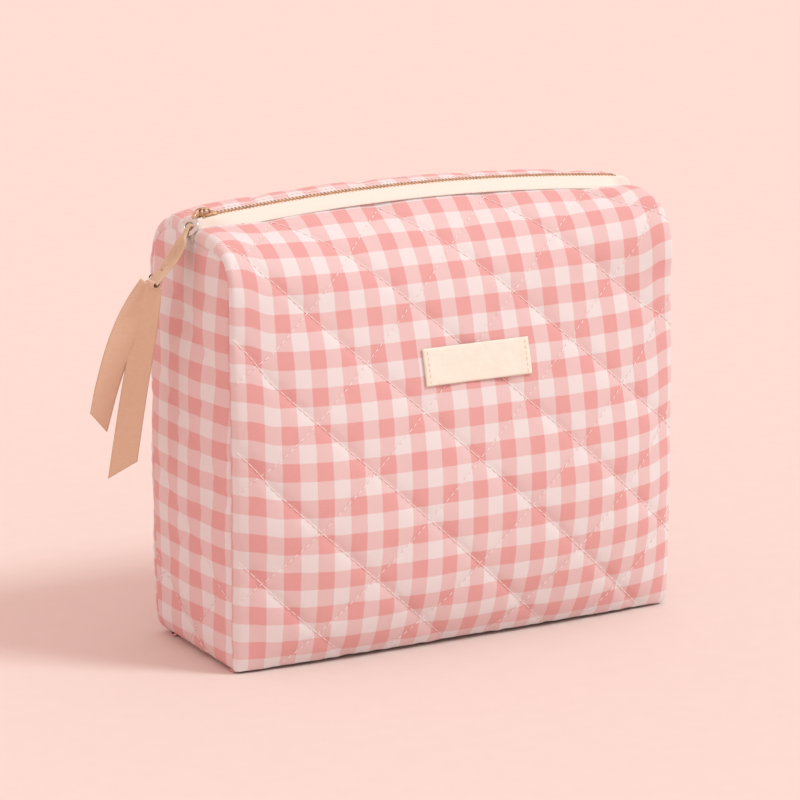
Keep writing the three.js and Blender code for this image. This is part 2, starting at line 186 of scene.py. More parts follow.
def outward(points, faces):
    """The same faces, turned so that the closed mesh's faces point out."""
    faces = np.asarray(faces)
    a, b, c, d = (points[faces[:, k]] for k in range(4))
    volume = np.einsum("ij,ij->i", a, np.cross(b, c)).sum() + np.einsum("ij,ij->i", a, np.cross(c, d)).sum()
    return faces if volume > 0 else faces[:, ::-1]


def grid_quads(rows, columns):
    index = np.arange(rows * columns).reshape(rows, columns)
    corners = [index[:-1, :-1], index[:-1, 1:], index[1:, 1:], index[1:, :-1]]
    return index, np.stack(corners, axis=-1).reshape(-1, 4)


def slab_data(outer, inner):
    """Points and faces of a closed slab between two grids of points."""
    rows, columns = outer.shape[:2]
    index, quads = grid_quads(rows, columns)
    n = rows * columns
    rim = []
    for a, b in [(index[0, 1:], index[0, :-1]), (index[-1, :-1], index[-1, 1:]),
                 (index[:-1, 0], index[1:, 0]), (index[1:, -1], index[:-1, -1])]:
        rim.append(np.stack([a, b, b + n, a + n], axis=-1))
    points = np.concatenate([outer.reshape(-1, 3), inner.reshape(-1, 3)])
    return points, outward(points, np.concatenate([quads, quads[:, ::-1] + n] + rim))


def add_slab(name, outer, inner, material, cloth=None):
    points, faces = slab_data(outer, inner)
    if cloth is not None:
        cloth = np.concatenate([cloth.reshape(-1, 2)] * 2)
    return add_mesh(name, points, faces.tolist(), material, cloth)


def tube_data(rings):
    """Points and faces of closed tubes. rings is tubes x rings x corners x 3."""
    tubes, count, corners = rings.shape[:3]
    index = np.arange(tubes * count * corners).reshape(tubes, count, corners)
    after = np.roll(index, -1, axis=2)
    walls = np.stack([index[:, :-1], after[:, :-1], after[:, 1:], index[:, 1:]], axis=-1).reshape(-1, 4)
    points = rings.reshape(-1, 3)
    first = outward(points[: count * corners], walls[: (count - 1) * corners])
    if (first != walls[: (count - 1) * corners]).any():
        walls, flip = walls[:, ::-1], -1
    else:
        flip = 1
    caps = [ring[::-flip].tolist() for ring in index[:, 0]] + [ring[::flip].tolist() for ring in index[:, -1]]
    return points, walls.tolist() + caps


def along_route(route, side, up, wide, high, corners, squareness=(1, 1)):
    """Rings for tube_data along one route, reaching wide along side and high along up."""
    angles = np.arange(corners) * 2 * math.pi / corners
    c, s = (np.sign(part) * np.abs(part) ** power for part, power in
            zip((np.cos(angles), np.sin(angles)), squareness))
    side, up = (np.broadcast_to(part, route.shape)[:, None] for part in (side, up))
    wide, high = (np.broadcast_to(part, len(route))[:, None, None] for part in (wide, high))
    return (route[:, None] + side * c[:, None] * wide + up * s[:, None] * high)[None]


def merged(*datas):
    points, faces, count = [], [], 0
    for more_points, more_faces in datas:
        points.append(np.asarray(more_points, float))
        faces += [[k + count for k in face] for face in more_faces]
        count += len(more_points)
    return np.concatenate(points), faces


def bevelled(obj, width):
    bevel = obj.modifiers.new("edges", "BEVEL")
    bevel.width = width * MM
    bevel.segments = 3
    bevel.limit_method = "ANGLE"
    bevel.angle_limit = math.radians(35)
    return obj


def applied(obj):
    evaluated = obj.evaluated_get(bpy.context.evaluated_depsgraph_get())
    obj.data = bpy.data.meshes.new_from_object(evaluated)
    obj.modifiers.clear()
    return obj


# ---- materials -----------------------------------------------------------------------
class Shader:
    """A Principled material and short ways to add nodes to it."""

    def __init__(self, name, **sockets):
        self.material = bpy.data.materials.new(name)
        self.material.use_nodes = True
        self.tree = self.material.node_tree
        self.surface = self.tree.nodes["Principled BSDF"]
        for socket, value in sockets.items():
            self.surface.inputs[socket.replace("_", " ")].default_value = value

    def node(self, kind, *inputs, out=0, **settings):
        made = self.tree.nodes.new("ShaderNode" + kind)
        for key, value in settings.items():
            setattr(made, key, value)
        for socket, value in zip(made.inputs, inputs):
            if isinstance(value, bpy.types.NodeSocket):
                self.tree.links.new(value, socket)
            elif value is not None:
                socket.default_value = value
        return made.outputs[out]

    def math(self, operation, *inputs):
        return self.node("Math", *inputs, operation=operation)

    def mix(self, share, a, b):
        made = self.tree.nodes.new("ShaderNodeMix")
        made.data_type = "RGBA"
        for socket, value in zip((made.inputs[0], made.inputs[6], made.inputs[7]), (share, a, b)):
            if isinstance(value, bpy.types.NodeSocket):
                self.tree.links.new(value, socket)
            else:
                socket.default_value = value
        return made.outputs[2]

    def ramp(self, value, low, high, to_low=0.0, to_high=1.0):
        made = self.tree.nodes.new("ShaderNodeMapRange")
        made.interpolation_type = "SMOOTHSTEP"
        self.tree.links.new(value, made.inputs[0])
        for socket, number in zip(list(made.inputs)[1:5], (low, high, to_low, to_high)):
            socket.default_value = number
        return made.outputs[0]

    def noise(self, place, scale, detail=3.0, roughness=0.5):
        made = self.tree.nodes.new("ShaderNodeTexNoise")
        self.tree.links.new(place, made.inputs["Vector"])
        made.inputs["Scale"].default_value = scale
        made.inputs["Detail"].default_value = detail
        made.inputs["Roughness"].default_value = roughness
        return made.outputs[0]

    def object_place(self):
        return self.node("TexCoord", out=3)

    def cloth_place(self):
        return self.node("Attribute", out=1, attribute_name="cloth")

    def finish(self, color, height=None, strength=0.3, depth=0.2, roughness=None):
        links = self.tree.links
        links.new(color, self.surface.inputs["Base Color"])
        if roughness is not None:
            links.new(roughness, self.surface.inputs["Roughness"])
        if height is not None:
            bump = self.tree.nodes.new("ShaderNodeBump")
            bump.inputs["Strength"].default_value = strength
            bump.inputs["Distance"].default_value = depth * MM
            links.new(height, bump.inputs["Height"])
            links.new(bump.outputs[0], self.surface.inputs["Normal"])
        return self.material


def rgb(r, g, b):
    return (r, g, b, 1.0)


def gingham_material():
    shader = Shader("gingham_cotton", Roughness=0.92, Sheen_Weight=0.12, Sheen_Roughness=0.6,
                    Specular_IOR_Level=0.25)
    place = shader.cloth_place()
    u, v = (shader.node("SeparateXYZ", place, out=k) for k in (0, 1))
    wander = shader.math("MULTIPLY", shader.math("SUBTRACT", shader.noise(place, 0.12, 1.0), 0.5), 0.7)
    masks = []
    for along in (u, v):
        moved = shader.math("ADD", along, wander)
        reach = shader.math("PINGPONG", moved, CHECK / 2)
        masks.append(shader.ramp(reach, CHECK / 4 - 0.16, CHECK / 4 + 0.16))
    thread = [shader.math("SINE", shader.math("MULTIPLY", along, 2 * math.pi / 0.62)) for along in (u, v)]
    weave = shader.math("MULTIPLY", thread[0], thread[1])
    share = shader.math("MULTIPLY_ADD", weave, 0.13, 0.5)
    pinkness = shader.node("Mix", share, None, *masks, data_type="FLOAT")
    white = rgb(0.745, 0.73, 0.745)
    pink = rgb(0.70, 0.35, 0.345)
    color = shader.mix(pinkness, white, pink)
    slubs = shader.noise(place, 1.3, 4.0, 0.7)
    color = shader.mix(shader.ramp(slubs, 0.35, 0.75, 0.0, 0.10), color, rgb(0.86, 0.72, 0.70))
    faded = shader.noise(place, 0.05, 2.0)
    color = shader.mix(shader.ramp(faded, 0.3, 0.7, 0.0, 0.05), color, rgb(0.78, 0.62, 0.55))
    height = shader.math("MULTIPLY_ADD", slubs, 0.6, shader.math("MULTIPLY", weave, 0.35))
    return shader.finish(color, height, 0.22, 0.25)


def plain_cloth(name, light, dark, pitch=0.5, roughness=0.9, strength=0.25):
    """Plain-woven cloth, from its place in the object."""
    shader = Shader(name, Roughness=roughness, Sheen_Weight=0.1, Specular_IOR_Level=0.25)
    place = shader.object_place()
    parts = [shader.node("SeparateXYZ", place, out=k) for k in range(3)]
    waves = [shader.math("SINE", shader.math("MULTIPLY", p, 2 * math.pi / (pitch * MM))) for p in parts]
    weave = shader.math("ADD", shader.math("MULTIPLY", waves[0], waves[2]), shader.math("MULTIPLY", waves[1], 0.5))
    uneven = shader.noise(place, 260, 4.0, 0.6)
    color = shader.mix(shader.ramp(uneven, 0.3, 0.75), light, dark)
    height = shader.math("MULTIPLY_ADD", uneven, 0.8, shader.math("MULTIPLY", weave, 0.2))
    return shader.finish(color, height, strength, 0.25)


def tape_material():
    """Zip tape: a herringbone of fine ribs along the zip."""
    shader = Shader("zip_tape_cotton", Roughness=0.85, Sheen_Weight=0.1, Specular_IOR_Level=0.3)
    place = shader.cloth_place()
    along, across = (shader.node("SeparateXYZ", place, out=k) for k in (0, 1))
    chevron = shader.math("PINGPONG", across, 1.1)
    slanted = shader.math("ADD", along, shader.math("MULTIPLY", chevron, 0.9))
    ribs = shader.math("SINE", shader.math("MULTIPLY", slanted, 2 * math.pi / 0.7))
    uneven = shader.noise(place, 0.9, 3.0)
    color = shader.mix(shader.ramp(ribs, -1, 1, 0.0, 0.35), rgb(0.82, 0.79, 0.72), rgb(0.72, 0.68, 0.59))
    color = shader.mix(shader.ramp(uneven, 0.3, 0.8, 0.0, 0.3), color, rgb(0.85, 0.83, 0.77))
    height = shader.math("MULTIPLY_ADD", ribs, 0.4, uneven)
    return shader.finish(color, height, 0.25, 0.2)


def ribbon_material():
    """Grosgrain: fine ribs across the ribbon, slightly slanted, with a firm selvedge."""
    shader = Shader("ribbon_grosgrain", Roughness=0.62, Sheen_Weight=0.15, Specular_IOR_Level=0.35)
    place = shader.cloth_place()
    across, along = (shader.node("SeparateXYZ", place, out=k) for k in (0, 1))
    slanted = shader.math("MULTIPLY_ADD", across, 0.55, along)
    ribs = shader.math("SINE", shader.math("MULTIPLY", slanted, 2 * math.pi / 0.85))
    selvedge = shader.ramp(shader.math("ABSOLUTE", across), 5.5, 5.9)
    uneven = shader.noise(place, 0.35, 4.0)
    color = shader.mix(shader.ramp(ribs, -1, 1, 0.0, 0.4), rgb(0.70, 0.505, 0.365), rgb(0.60, 0.42, 0.29))
    color = shader.mix(shader.ramp(uneven, 0.3, 0.7, 0.0, 0.3), color, rgb(0.74, 0.55, 0.41))
    color = shader.mix(selvedge, color, rgb(0.66, 0.47, 0.34))
    height = shader.math("MULTIPLY_ADD", uneven, 0.5, shader.math("MULTIPLY", ribs, 0.6))
    return shader.finish(color, height, 0.3, 0.15)


def leather_material():
    shader = Shader("tab_leather", Roughness=0.55, Specular_IOR_Level=0.4)
    place = shader.object_place()
    cells = shader.node("TexVoronoi", place, None, 1500.0, feature="F1", out=0)
    grain = shader.noise(place, 900, 4.0, 0.6)
    broad = shader.noise(place, 120, 3.0)
    color = shader.mix(shader.ramp(broad, 0.3, 0.7), rgb(0.655, 0.50, 0.345), rgb(0.56, 0.41, 0.275))
    color = shader.mix(shader.ramp(grain, 0.4, 0.8, 0.0, 0.25), color, rgb(0.74, 0.60, 0.45))
    height = shader.math("MULTIPLY_ADD", cells, -0.5, grain)
    rough = shader.ramp(grain, 0.3, 0.7, 0.48, 0.66)
    return shader.finish(color, height, 0.3, 0.15, rough)


def metal_material(name, bright, dull, roughness, scratch_scale=700):
    """Metal with fine scratches, and dulled in patches."""
    shader = Shader(name, Metallic=1.0, Roughness=roughness)
    place = shader.object_place()
    stretched = shader.node("Mapping", place, None, None, (1.0, 1.0, 6.0))
    scratches = shader.noise(stretched, scratch_scale, 4.0, 0.7)
    patches = shader.noise(place, 240, 2.0)
    color = shader.mix(shader.ramp(patches, 0.35, 0.7), bright, dull)
    rough = shader.ramp(scratches, 0.35, 0.7, roughness * 0.8, roughness * 1.4)
    return shader.finish(color, scratches, 0.08, 0.05, rough)


GINGHAM = gingham_material()
LINING = plain_cloth("lining_cotton", rgb(0.86, 0.74, 0.70), rgb(0.78, 0.64, 0.60))
BINDING = plain_cloth("binding_cotton", rgb(0.84, 0.72, 0.66), rgb(0.74, 0.60, 0.54), 0.7)
LABEL_CLOTH = plain_cloth("label_cotton", rgb(0.83, 0.82, 0.73), rgb(0.79, 0.77, 0.67), 0.55, 0.85, 0.3)
THREAD = plain_cloth("quilting_thread", rgb(0.95, 0.88, 0.86), rgb(0.90, 0.80, 0.78), 0.3)
TAN_THREAD = plain_cloth("label_thread", rgb(0.74, 0.68, 0.56), rgb(0.66, 0.59, 0.47), 0.3)
DARK_THREAD = plain_cloth("tab_thread", rgb(0.10, 0.075, 0.06), rgb(0.05, 0.04, 0.035), 0.3)
TAPE = tape_material()
RIBBON = ribbon_material()
LEATHER = leather_material()
BRASS = metal_material("antique_brass", rgb(0.66, 0.46, 0.27), rgb(0.42, 0.27, 0.15), 0.36)
STEEL = metal_material("polished_nickel", rgb(0.80, 0.78, 0.74), rgb(0.62, 0.60, 0.56), 0.2)


# ---- the bag's skin ------------------------------------------------------------------
def belly_at(z):
    share = np.clip(z / FOLD_HEIGHT, 0, 1)
    return BELLY * np.maximum(np.sin(math.pi * share**0.72), 0) ** 0.9


def side_depth_at(z):
    return HALF_BASE_DEPTH + 1.2 * np.sin(math.pi * np.clip(z / FOLD_HEIGHT, 0, 1))


def fullness(x):
    return 1 - abs(x / HALF_WIDTH) ** 4.35


def crown(x):
    return 1 - (x / HALF_WIDTH) ** 2


def corner_cut(z, radius):
    """How far a corner rounded with this radius is drawn in at a height above the floor."""
    return radius - np.sqrt(np.maximum(radius**2 - np.maximum(radius - z, 0) ** 2, 0))


def zip_edge(x):
    """Distance of the cloth's edge from the zip's middle: it closes in on the tape at the ends."""
    return ZIP_EDGE - 4.6 * smoothstep((np.abs(x) - 96) / 12)


def edge_height(side, x):
    """Height of the cloth's edge beside the zip."""
    shape = SHAPES[side]
    return lerp(shape["end"][-1][1], shape["middle"][-1][1], crown(x)) + 0.175


def half_profile(side, x, count):
    """(depth, height) of the skin at x, from above the base's turn to the zip, equally spaced."""
    shape = SHAPES[side]
    z = np.arange(shape["base_roll"], FOLD_HEIGHT - 1, 1.0)
    wall = np.stack([side_depth_at(z) + fullness(x) * belly_at(z), z], axis=1)
    t = np.linspace(0, 1, 60)
    top = lerp(spline(shape["end"], t), spline(shape["middle"], t), crown(x)) + np.array([0, 0.175])
    if side == BACK:
        top[:, 1] += 0.9 * smoothstep((-x - 10) / 80) * smoothstep((top[:, 0] - ZIP_EDGE) / 8) * smoothstep(
            (top[:, 1] - 165) / 25)
    closing = smoothstep((top[:, 1] - 182) / 14)
    top[:, 0] -= (ZIP_EDGE - zip_edge(x)) * closing * smoothstep((30 - top[:, 0]) / 21)
    even = respaced(np.concatenate([wall, top]), 230)
    for _ in range(3):
        even[2:-2] = (even[:-4] + even[1:-3] + even[2:-2] + even[3:-1] + even[4:]) / 5
    return respaced(even, count)


def rolled(half, radius, turn, step, turns=8):
    """Stations across a piece whose two edges turn inwards: place, and how far each is turned in."""
    bend = np.linspace(0, math.radians(turn), turns + 1)[1:]
    flat = half - radius
    core = np.linspace(-flat, flat, int(2 * flat / step) + 1)
    out, drop = flat + radius * np.sin(bend), radius * (1 - np.cos(bend))
    place = np.concatenate([-out[::-1], core, out])
    return place, np.concatenate([drop[::-1], 0 * core, drop])


def grid_normals(points, towards):
    across = np.gradient(points, axis=1)
    along = np.gradient(points, axis=0)
    normals = unit(np.cross(across, along))
    turned = np.einsum("ijk,ijk->ij", normals, towards) < 0
    normals[turned] *= -1
    return normals


def wall_grid(side):
    """The front's or back's skin: points, normals, and places in the cloth (u, v)."""
    shape = SHAPES[side]
    base_roll, end_roll = shape["base_roll"], shape["end_roll"]
    flat = HALF_WIDTH - SEAM_ROLL
    bend = np.radians(np.linspace(0, SEAM_TURN, SEAM_STEPS + 1))[1:]
    core = np.linspace(-1, 1, int(2 * flat / GRID) + 1)
    tilt = np.concatenate([-bend[::-1], 0 * core, bend])
    core = np.concatenate([-np.ones(len(bend)), core, np.ones(len(bend))])
    count = int(210 / GRID)
    base_bend = np.radians(np.linspace(BASE_TURN, 0, 9))[:-1]
    zip_bend = np.radians(np.linspace(0, ZIP_TURN, ZIP_STEPS + 1))[1:]

    # Profiles at stations along the width, each with its turns at the base and the zip.
    stations = np.linspace(-HALF_WIDTH, HALF_WIDTH, 93)
    lines, outs, insets = [], [], []
    for at in stations:
        profile = half_profile(side, at, count)
        tangent = unit(np.gradient(profile, axis=0))
        normal = np.stack([tangent[:, 1], -tangent[:, 0]], axis=1)
        parts, part_outs = [], []
        for angles, start, radius, sense in ((base_bend, 0, base_roll, -1), (zip_bend, -1, ZIP_ROLL, 1)):
            c, d = np.cos(angles)[:, None], np.sin(angles)[:, None]
            run = sense * tangent[start]
            parts.append(profile[start] + radius * (d * run - (1 - c) * normal[start]))
            part_outs.append(c * normal[start] + d * run)
        lines.append(np.concatenate([parts[0], profile, parts[1]]))
        outs.append(np.concatenate([part_outs[0], normal, part_outs[1]]))
        insets.append(np.concatenate([np.repeat(normal[:1], len(base_bend), 0), normal,
                                      np.repeat(normal[-1:], len(zip_bend), 0)]))
    lines, outs, insets = np.array(lines), np.array(outs), np.array(insets)
    rows, columns = lines.shape[1], len(core)

    # The turn over the bag's ends widens from the seams' to the zip's.
    v = np.concatenate([4 - base_roll * base_bend, np.linspace(4, CLOTH_HEIGHT, count),
                        CLOTH_HEIGHT + ZIP_ROLL * zip_bend])
    roll = lerp(SEAM_ROLL, end_roll, smoothstep((v - 172) / 34))
    points, faces_out = np.zeros((rows, columns, 3)), np.zeros((rows, columns, 3))
    for row in range(rows):
        turned = np.abs(tilt)
        x = core * (HALF_WIDTH - roll[row]) + np.sign(tilt) * roll[row] * np.sin(turned)
        flat_x = np.clip(core * (HALF_WIDTH - roll[row]), -HALF_WIDTH, HALF_WIDTH)
        line, out, inset = (np.stack([np.interp(flat_x, stations, part[:, row, k]) for k in (0, 1)], axis=1)
                            for part in (lines, outs, insets))
        if v[row] < 165:
            line = np.stack([np.interp(x, stations, lines[:, row, k]) for k in (0, 1)], axis=1)
        out = unit(out)
        line = line - (roll[row] * (1 - np.cos(turned)))[:, None] * unit(inset)
        cut = corner_cut(np.maximum(line[:, 1], 0.3), shape["corner"]) * 0.7
        points[row] = np.stack([x * (1 - cut / HALF_WIDTH), side * line[:, 0], line[:, 1]], axis=1)
        faces_out[row] = np.stack([np.sin(tilt), side * out[:, 0] * np.cos(tilt), out[:, 1] * np.cos(tilt)], axis=1)
    points[..., 2] = np.maximum(points[..., 2], 0.7)
    steps = np.linalg.norm(np.diff(points, axis=1), axis=2)
    u = np.concatenate([np.zeros((rows, 1)), np.cumsum(steps, axis=1)], axis=1)
    spare = SEAM_ROLL * math.radians(SEAM_TURN - 90)
    u = u / u[:, -1:] * (CLOTH_WIDTH + 2 * spare) - spare
    normals = grid_normals(points, faces_out)
    return points, normals, u, np.repeat(v[:, None], columns, axis=1), HALF_WIDTH - np.abs(points[0, :, 0])


def quilt_phases(u, v, shift=QUILT_SHIFT[FRONT]):
    """Both families of quilting lines: each lies where its phase is a whole number."""
    across, up = (u - shift[0]) / QUILT_RUN, (v - shift[1]) / QUILT_RISE
    return across + up, across - up


def from_line(phase):
    """Distance from the nearest line of a family."""
    return np.abs(phase - np.round(phase)) * QUILT_SPACING


def puffed(falling, rising, u, v, seed):
    """How far the wadding stands up between the quilting lines."""
    down, up = (np.sqrt(from_line(phase) ** 2 + 0.36) - 0.6 for phase in (falling, rising))
    near = np.minimum(down, up)
    crease = (1 - np.exp(-down / 2.1)) * (0.5 + 0.5 * (1 - np.exp(-up / 1.8)))
    pillow = (np.abs(np.sin(math.pi * falling)) * np.abs(np.sin(math.pi * rising))) ** 0.6
    pucker = ripple(u, v, seed, 7.5) * np.exp(-near / 5) * 0.10
    return 0.95 * crease + 0.75 * pillow + pucker + 0.35 * ripple(u, v, seed + 1, 48)


def edge_fade(distance, reach=5.0):
    return 1 - np.exp(-np.maximum(distance, 0) / reach)


def follow_flap(obj):
    """Bakes a piece's placement into its mesh and reads its points; the piece is not bent."""
    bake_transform(obj)
    points = np.zeros(len(obj.data.vertices) * 3)
    obj.data.vertices.foreach_get("co", points)


SIDE_NAME = {FRONT: "front", BACK: "back"}
WALLS = {}


def add_wall(side):
    name = SIDE_NAME[side]
    points, normals, u, v, edge = wall_grid(side)
    seed = WALL_SEED[side]
    falling, rising = quilt_phases(u, v, QUILT_SHIFT[side])
    margin = np.minimum(edge_fade(np.minimum(u, CLOTH_WIDTH - u), 4.5),
                        np.minimum(edge_fade(v - 2, 6), edge_fade(CLOTH_HEIGHT - v, 5)))
    to_seam = np.minimum(np.minimum(u, CLOTH_WIDTH - u), v)
    gathers = 0.32 * ripple(u, v, seed + 2, 9) * np.exp(-np.maximum(to_seam, 0) / 5)
    gathers = gathers * edge_fade(to_seam + 4, 2)
    height = puffed(falling, rising, u, v, seed) * margin - 0.6 + gathers
    outer = points + normals * height[..., None]
    thickness = QUILT_THICKNESS * np.clip(edge / 4, 0.35, 1)[None, :]
    thickness = thickness * np.clip((CLOTH_HEIGHT + 2 - v) / 6, 0.35, 1) * np.clip((v + 2) / 6, 0.35, 1)
    inner = points - normals * (0.6 + thickness)[..., None]
    cloth = np.stack([u - 4.6, v - 5.2], axis=-1)
    obj = add_slab(f"{name}_quilt", outer, inner, GINGHAM, cloth)
    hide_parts(*[f"{name}_{part}" for part in (
        "panel", "wadding", "top_panel", "top_wadding", "top_left_end", "top_right_end")])
    follow_flap(obj)
    WALLS[side] = {"points": outer, "normals": grid_normals(outer, normals), "skin": points,
                   "skin_normals": normals, "u": u, "v": v, "phases": (falling, rising)}
    add_stitches(f"{name}_quilting_thread", wall_stitch_lines(WALLS[side]),
                 lambda thread: follow_flap(thread))


# ---- stitches ----------------------------------------------------------------------------
def wall_stitch_lines(grid):
    """Routes of the quilting lines over the grid, as (points, normals, stitch, gap)."""
    u, v, points, normals = grid["u"], grid["v"], grid["points"], grid["normals"]
    rows = np.nonzero((v[:, 0] > 5) & (v[:, 0] < CLOTH_HEIGHT - 4))[0]
    routes = []
    for family, (stitch, gap) in enumerate([(3.4, 0.15), (2.4, 0.9)]):
        phase = grid["phases"][family]
        for line in range(int(phase.min()), int(phase.max()) + 2):
            found = []
            for row in rows:
                values = phase[row]
                if not values[0] < line < values[-1]:
                    continue
                place = np.interp(line, values, np.arange(len(values)))
                if 2 < np.interp(place, np.arange(len(values)), u[row]) < CLOTH_WIDTH - 2:
                    a = int(place)
                    f = place - a
                    found.append(np.concatenate([lerp(points[row, a], points[row, a + 1], f),
                                                 lerp(normals[row, a], normals[row, a + 1], f)]))
            if len(found) > 6:
                found = np.array(found)
                routes.append((found[:, :3], unit(found[:, 3:]), stitch, gap))
    return routes


def stitch_rings(route, normals, stitch, gap, radius=0.17, lift=0.32, sink=0.3):
    """Rings of short threads laid end to end along a route, each dipping in at its ends."""
    along = lengths_along(route)
    count = int(along[-1] / (stitch + gap))
    if count < 1:
        return np.zeros((0, 5, 6, 3))
    starts = (np.arange(count) + 0.5) * along[-1] / count - stitch / 2
    f = np.linspace(0, 1, 5)
    places = starts[:, None] + f[None, :] * stitch
    centre = np.stack([np.interp(places, along, route[:, k]) for k in range(3)], axis=-1)
    up = unit(np.stack([np.interp(places, along, normals[:, k]) for k in range(3)], axis=-1))
    run = unit(np.gradient(centre, axis=1))
    across = unit(np.cross(run, up))
    centre = centre + up * (lift - sink * np.abs(2 * f - 1) ** 3)[None, :, None]
    size = radius * np.array([0.35, 0.9, 1, 0.9, 0.35])
    angles = np.arange(6) * math.pi / 3
    ring = np.cos(angles)[None, None, :, None] * across[:, :, None] * 1.15
    ring = ring + np.sin(angles)[None, None, :, None] * up[:, :, None]
    return centre[:, :, None] + ring * size[None, :, None, None]


def add_stitches(name, routes, place, material=None, radius=0.17):
    rings = np.concatenate([stitch_rings(*route, radius=radius) for route in routes])
    obj = add_mesh(name, *tube_data(rings), material or THREAD)
    place(obj)
    return obj


def on_shell(obj):
    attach(obj, "shell")


# ---- side panels and base ------------------------------------------------------------------
def seam_line(sign, side):
    """(distance from the middle, height) of a wall's edge where it meets a side panel, from the base up."""
    wall = WALLS[side]
    column = SEAM_MEETS if sign < 0 else -SEAM_MEETS - 1
    line = wall["skin"][:-ZIP_STEPS, column, 1:]
    line = np.stack([np.abs(line[:, 0]), line[:, 1]], axis=1)
    return line[np.concatenate([[True], np.diff(np.maximum.accumulate(line[:, 1])) > 0.02])]


def side_height(sign, y):
    """Height of the level seam along a side panel's top, at each depth."""
    front, back = (seam_line(sign, side) for side in (FRONT, BACK))
    front, back = front[front[:, 1] > 160][::-1], back[back[:, 1] > 160][::-1]
    ys = np.concatenate([-front[::-1, 0], back[:, 0]])
    zs = np.concatenate([front[::-1, 1], back[:, 1]])
    order = np.argsort(ys, kind="stable")
    return np.interp(y, ys[order], zs[order])


def side_grid(sign, columns, low, inset=0.0):
    """Depths and heights of a side panel's grid, whose top row follows the level seam."""
    c = np.linspace(-1, 1, columns)
    c = np.sign(c) * np.abs(c) ** 0.9
    front, back = (seam_line(sign, side) for side in (FRONT, BACK))
    top = side_height(sign, c * 36.8) - inset
    share = np.linspace(0, 1, int(190 / GRID))[:, None]
    z = low + (top[None, :] - low) * share
    halves = [np.interp(np.minimum(z, 165), line[:, 1], line[:, 0]) - inset for line in (front, back)]
    return np.where(c[None, :] > 0, halves[1], halves[0]) * c[None, :], z


def distance_to(outline, y, z):
    """Distance of each point to the outline's segments."""
    a, b = outline[:-1], outline[1:]
    run = b - a
    p = np.stack([y, z], axis=-1)[..., None, :]
    t = np.clip(((p - a) * run).sum(-1) / np.maximum((run**2).sum(-1), 1e-9), 0, 1)
    return np.linalg.norm(p - (a + run * t[..., None]), axis=-1).min(-1)


def add_side(side):
    name = "left_side" if side < 0 else "right_side"
    y, z = side_grid(side, 72, 1.2, -0.4)
    top = z.max()
    closed = np.concatenate([np.column_stack([y[0], z[0]]), np.column_stack([y[1:, -1], z[1:, -1]]),
                             np.column_stack([y[-1], z[-1]])[::-1], np.column_stack([y[:, 0], z[:, 0]])[::-1]])
    depth_in = distance_to(closed, y, z)
    roll = 2.3
    turned = roll - np.sqrt(np.maximum(roll**2 - (roll - np.minimum(depth_in, roll)) ** 2, 0))
    swell = SIDE_BELLY * np.sin(math.pi * z / top) * (1 - (y / 42) ** 2)
    u = (y + 0.045 * (z - 90)) * CHECK / 21
    if side > 0:
        u = -u + 5
    falling, rising = z / QUILT_RISE - y / 63.5 - 3.273, z / QUILT_RISE + y / 51.3 - 2.201
    margin = edge_fade(depth_in, 5)
    gathers = 0.3 * ripple(y, z, 31 + side, 9) * np.exp(-depth_in / 5)
    height = (0.8 * puffed(falling, rising, y, z, 40 + side) + 0.35 * ripple(y, z, 44 + side, 30)) * margin
    tucked = corner_cut(z, lerp(4.5, 11, smoothstep((y + 40) / 80))) * 0.75
    out = HALF_WIDTH - 0.2 + swell - turned + height - 0.5 + gathers - tucked
    outer = np.stack([side * out, y, z], axis=-1)
    thick = np.clip(QUILT_THICKNESS * (0.5 + depth_in / 8), 0, QUILT_THICKNESS)
    inner = np.stack([side * (HALF_WIDTH - 0.4 + swell - turned - thick - tucked), y * 0.99, z], axis=-1)
    cloth = np.stack([u + 15.47, z - 13], axis=-1)
    obj = add_slab(f"{name}_quilt", outer, inner, GINGHAM, cloth)
    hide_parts(f"{name}_panel", f"{name}_wadding")
    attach(obj, "shell")
    normals = grid_normals(outer, np.broadcast_to([side * 1.0, 0, 0], outer.shape))
    add_stitches(f"{name}_quilting_thread", planar_lines(outer, normals, falling, rising, depth_in), on_shell)


def planar_lines(points, normals, falling, rising, depth_in):
    """Routes of both families over a side's or the base's grid."""
    routes = []
    for phase, stitch, gap in [(falling, 3.2, 0.3), (rising, 2.4, 1.1)]:
        for line in range(int(np.floor(phase.min())), int(phase.max()) + 2):
            found = []
            for row in range(1, len(points) - 1):
                values, ascending = phase[row], 1
                if values[0] > values[-1]:
                    values, ascending = values[::-1], -1
                if not values[0] < line < values[-1] or np.diff(values).min() <= 0:
                    continue
                place = np.interp(line, values, np.arange(len(values)))
                a = int(place)
                f = place - a
                picks = [grid[row][::ascending] for grid in (points, normals, depth_in)]
                if lerp(picks[2][a], picks[2][a + 1], f) < 1.6:
                    continue
                found.append(np.concatenate([lerp(picks[0][a], picks[0][a + 1], f),
                                             lerp(picks[1][a], picks[1][a + 1], f)]))
            if len(found) > 6:
                found = np.array(found)
                routes.append((found[:, :3], unit(found[:, 3:]), stitch, gap))
    return routes


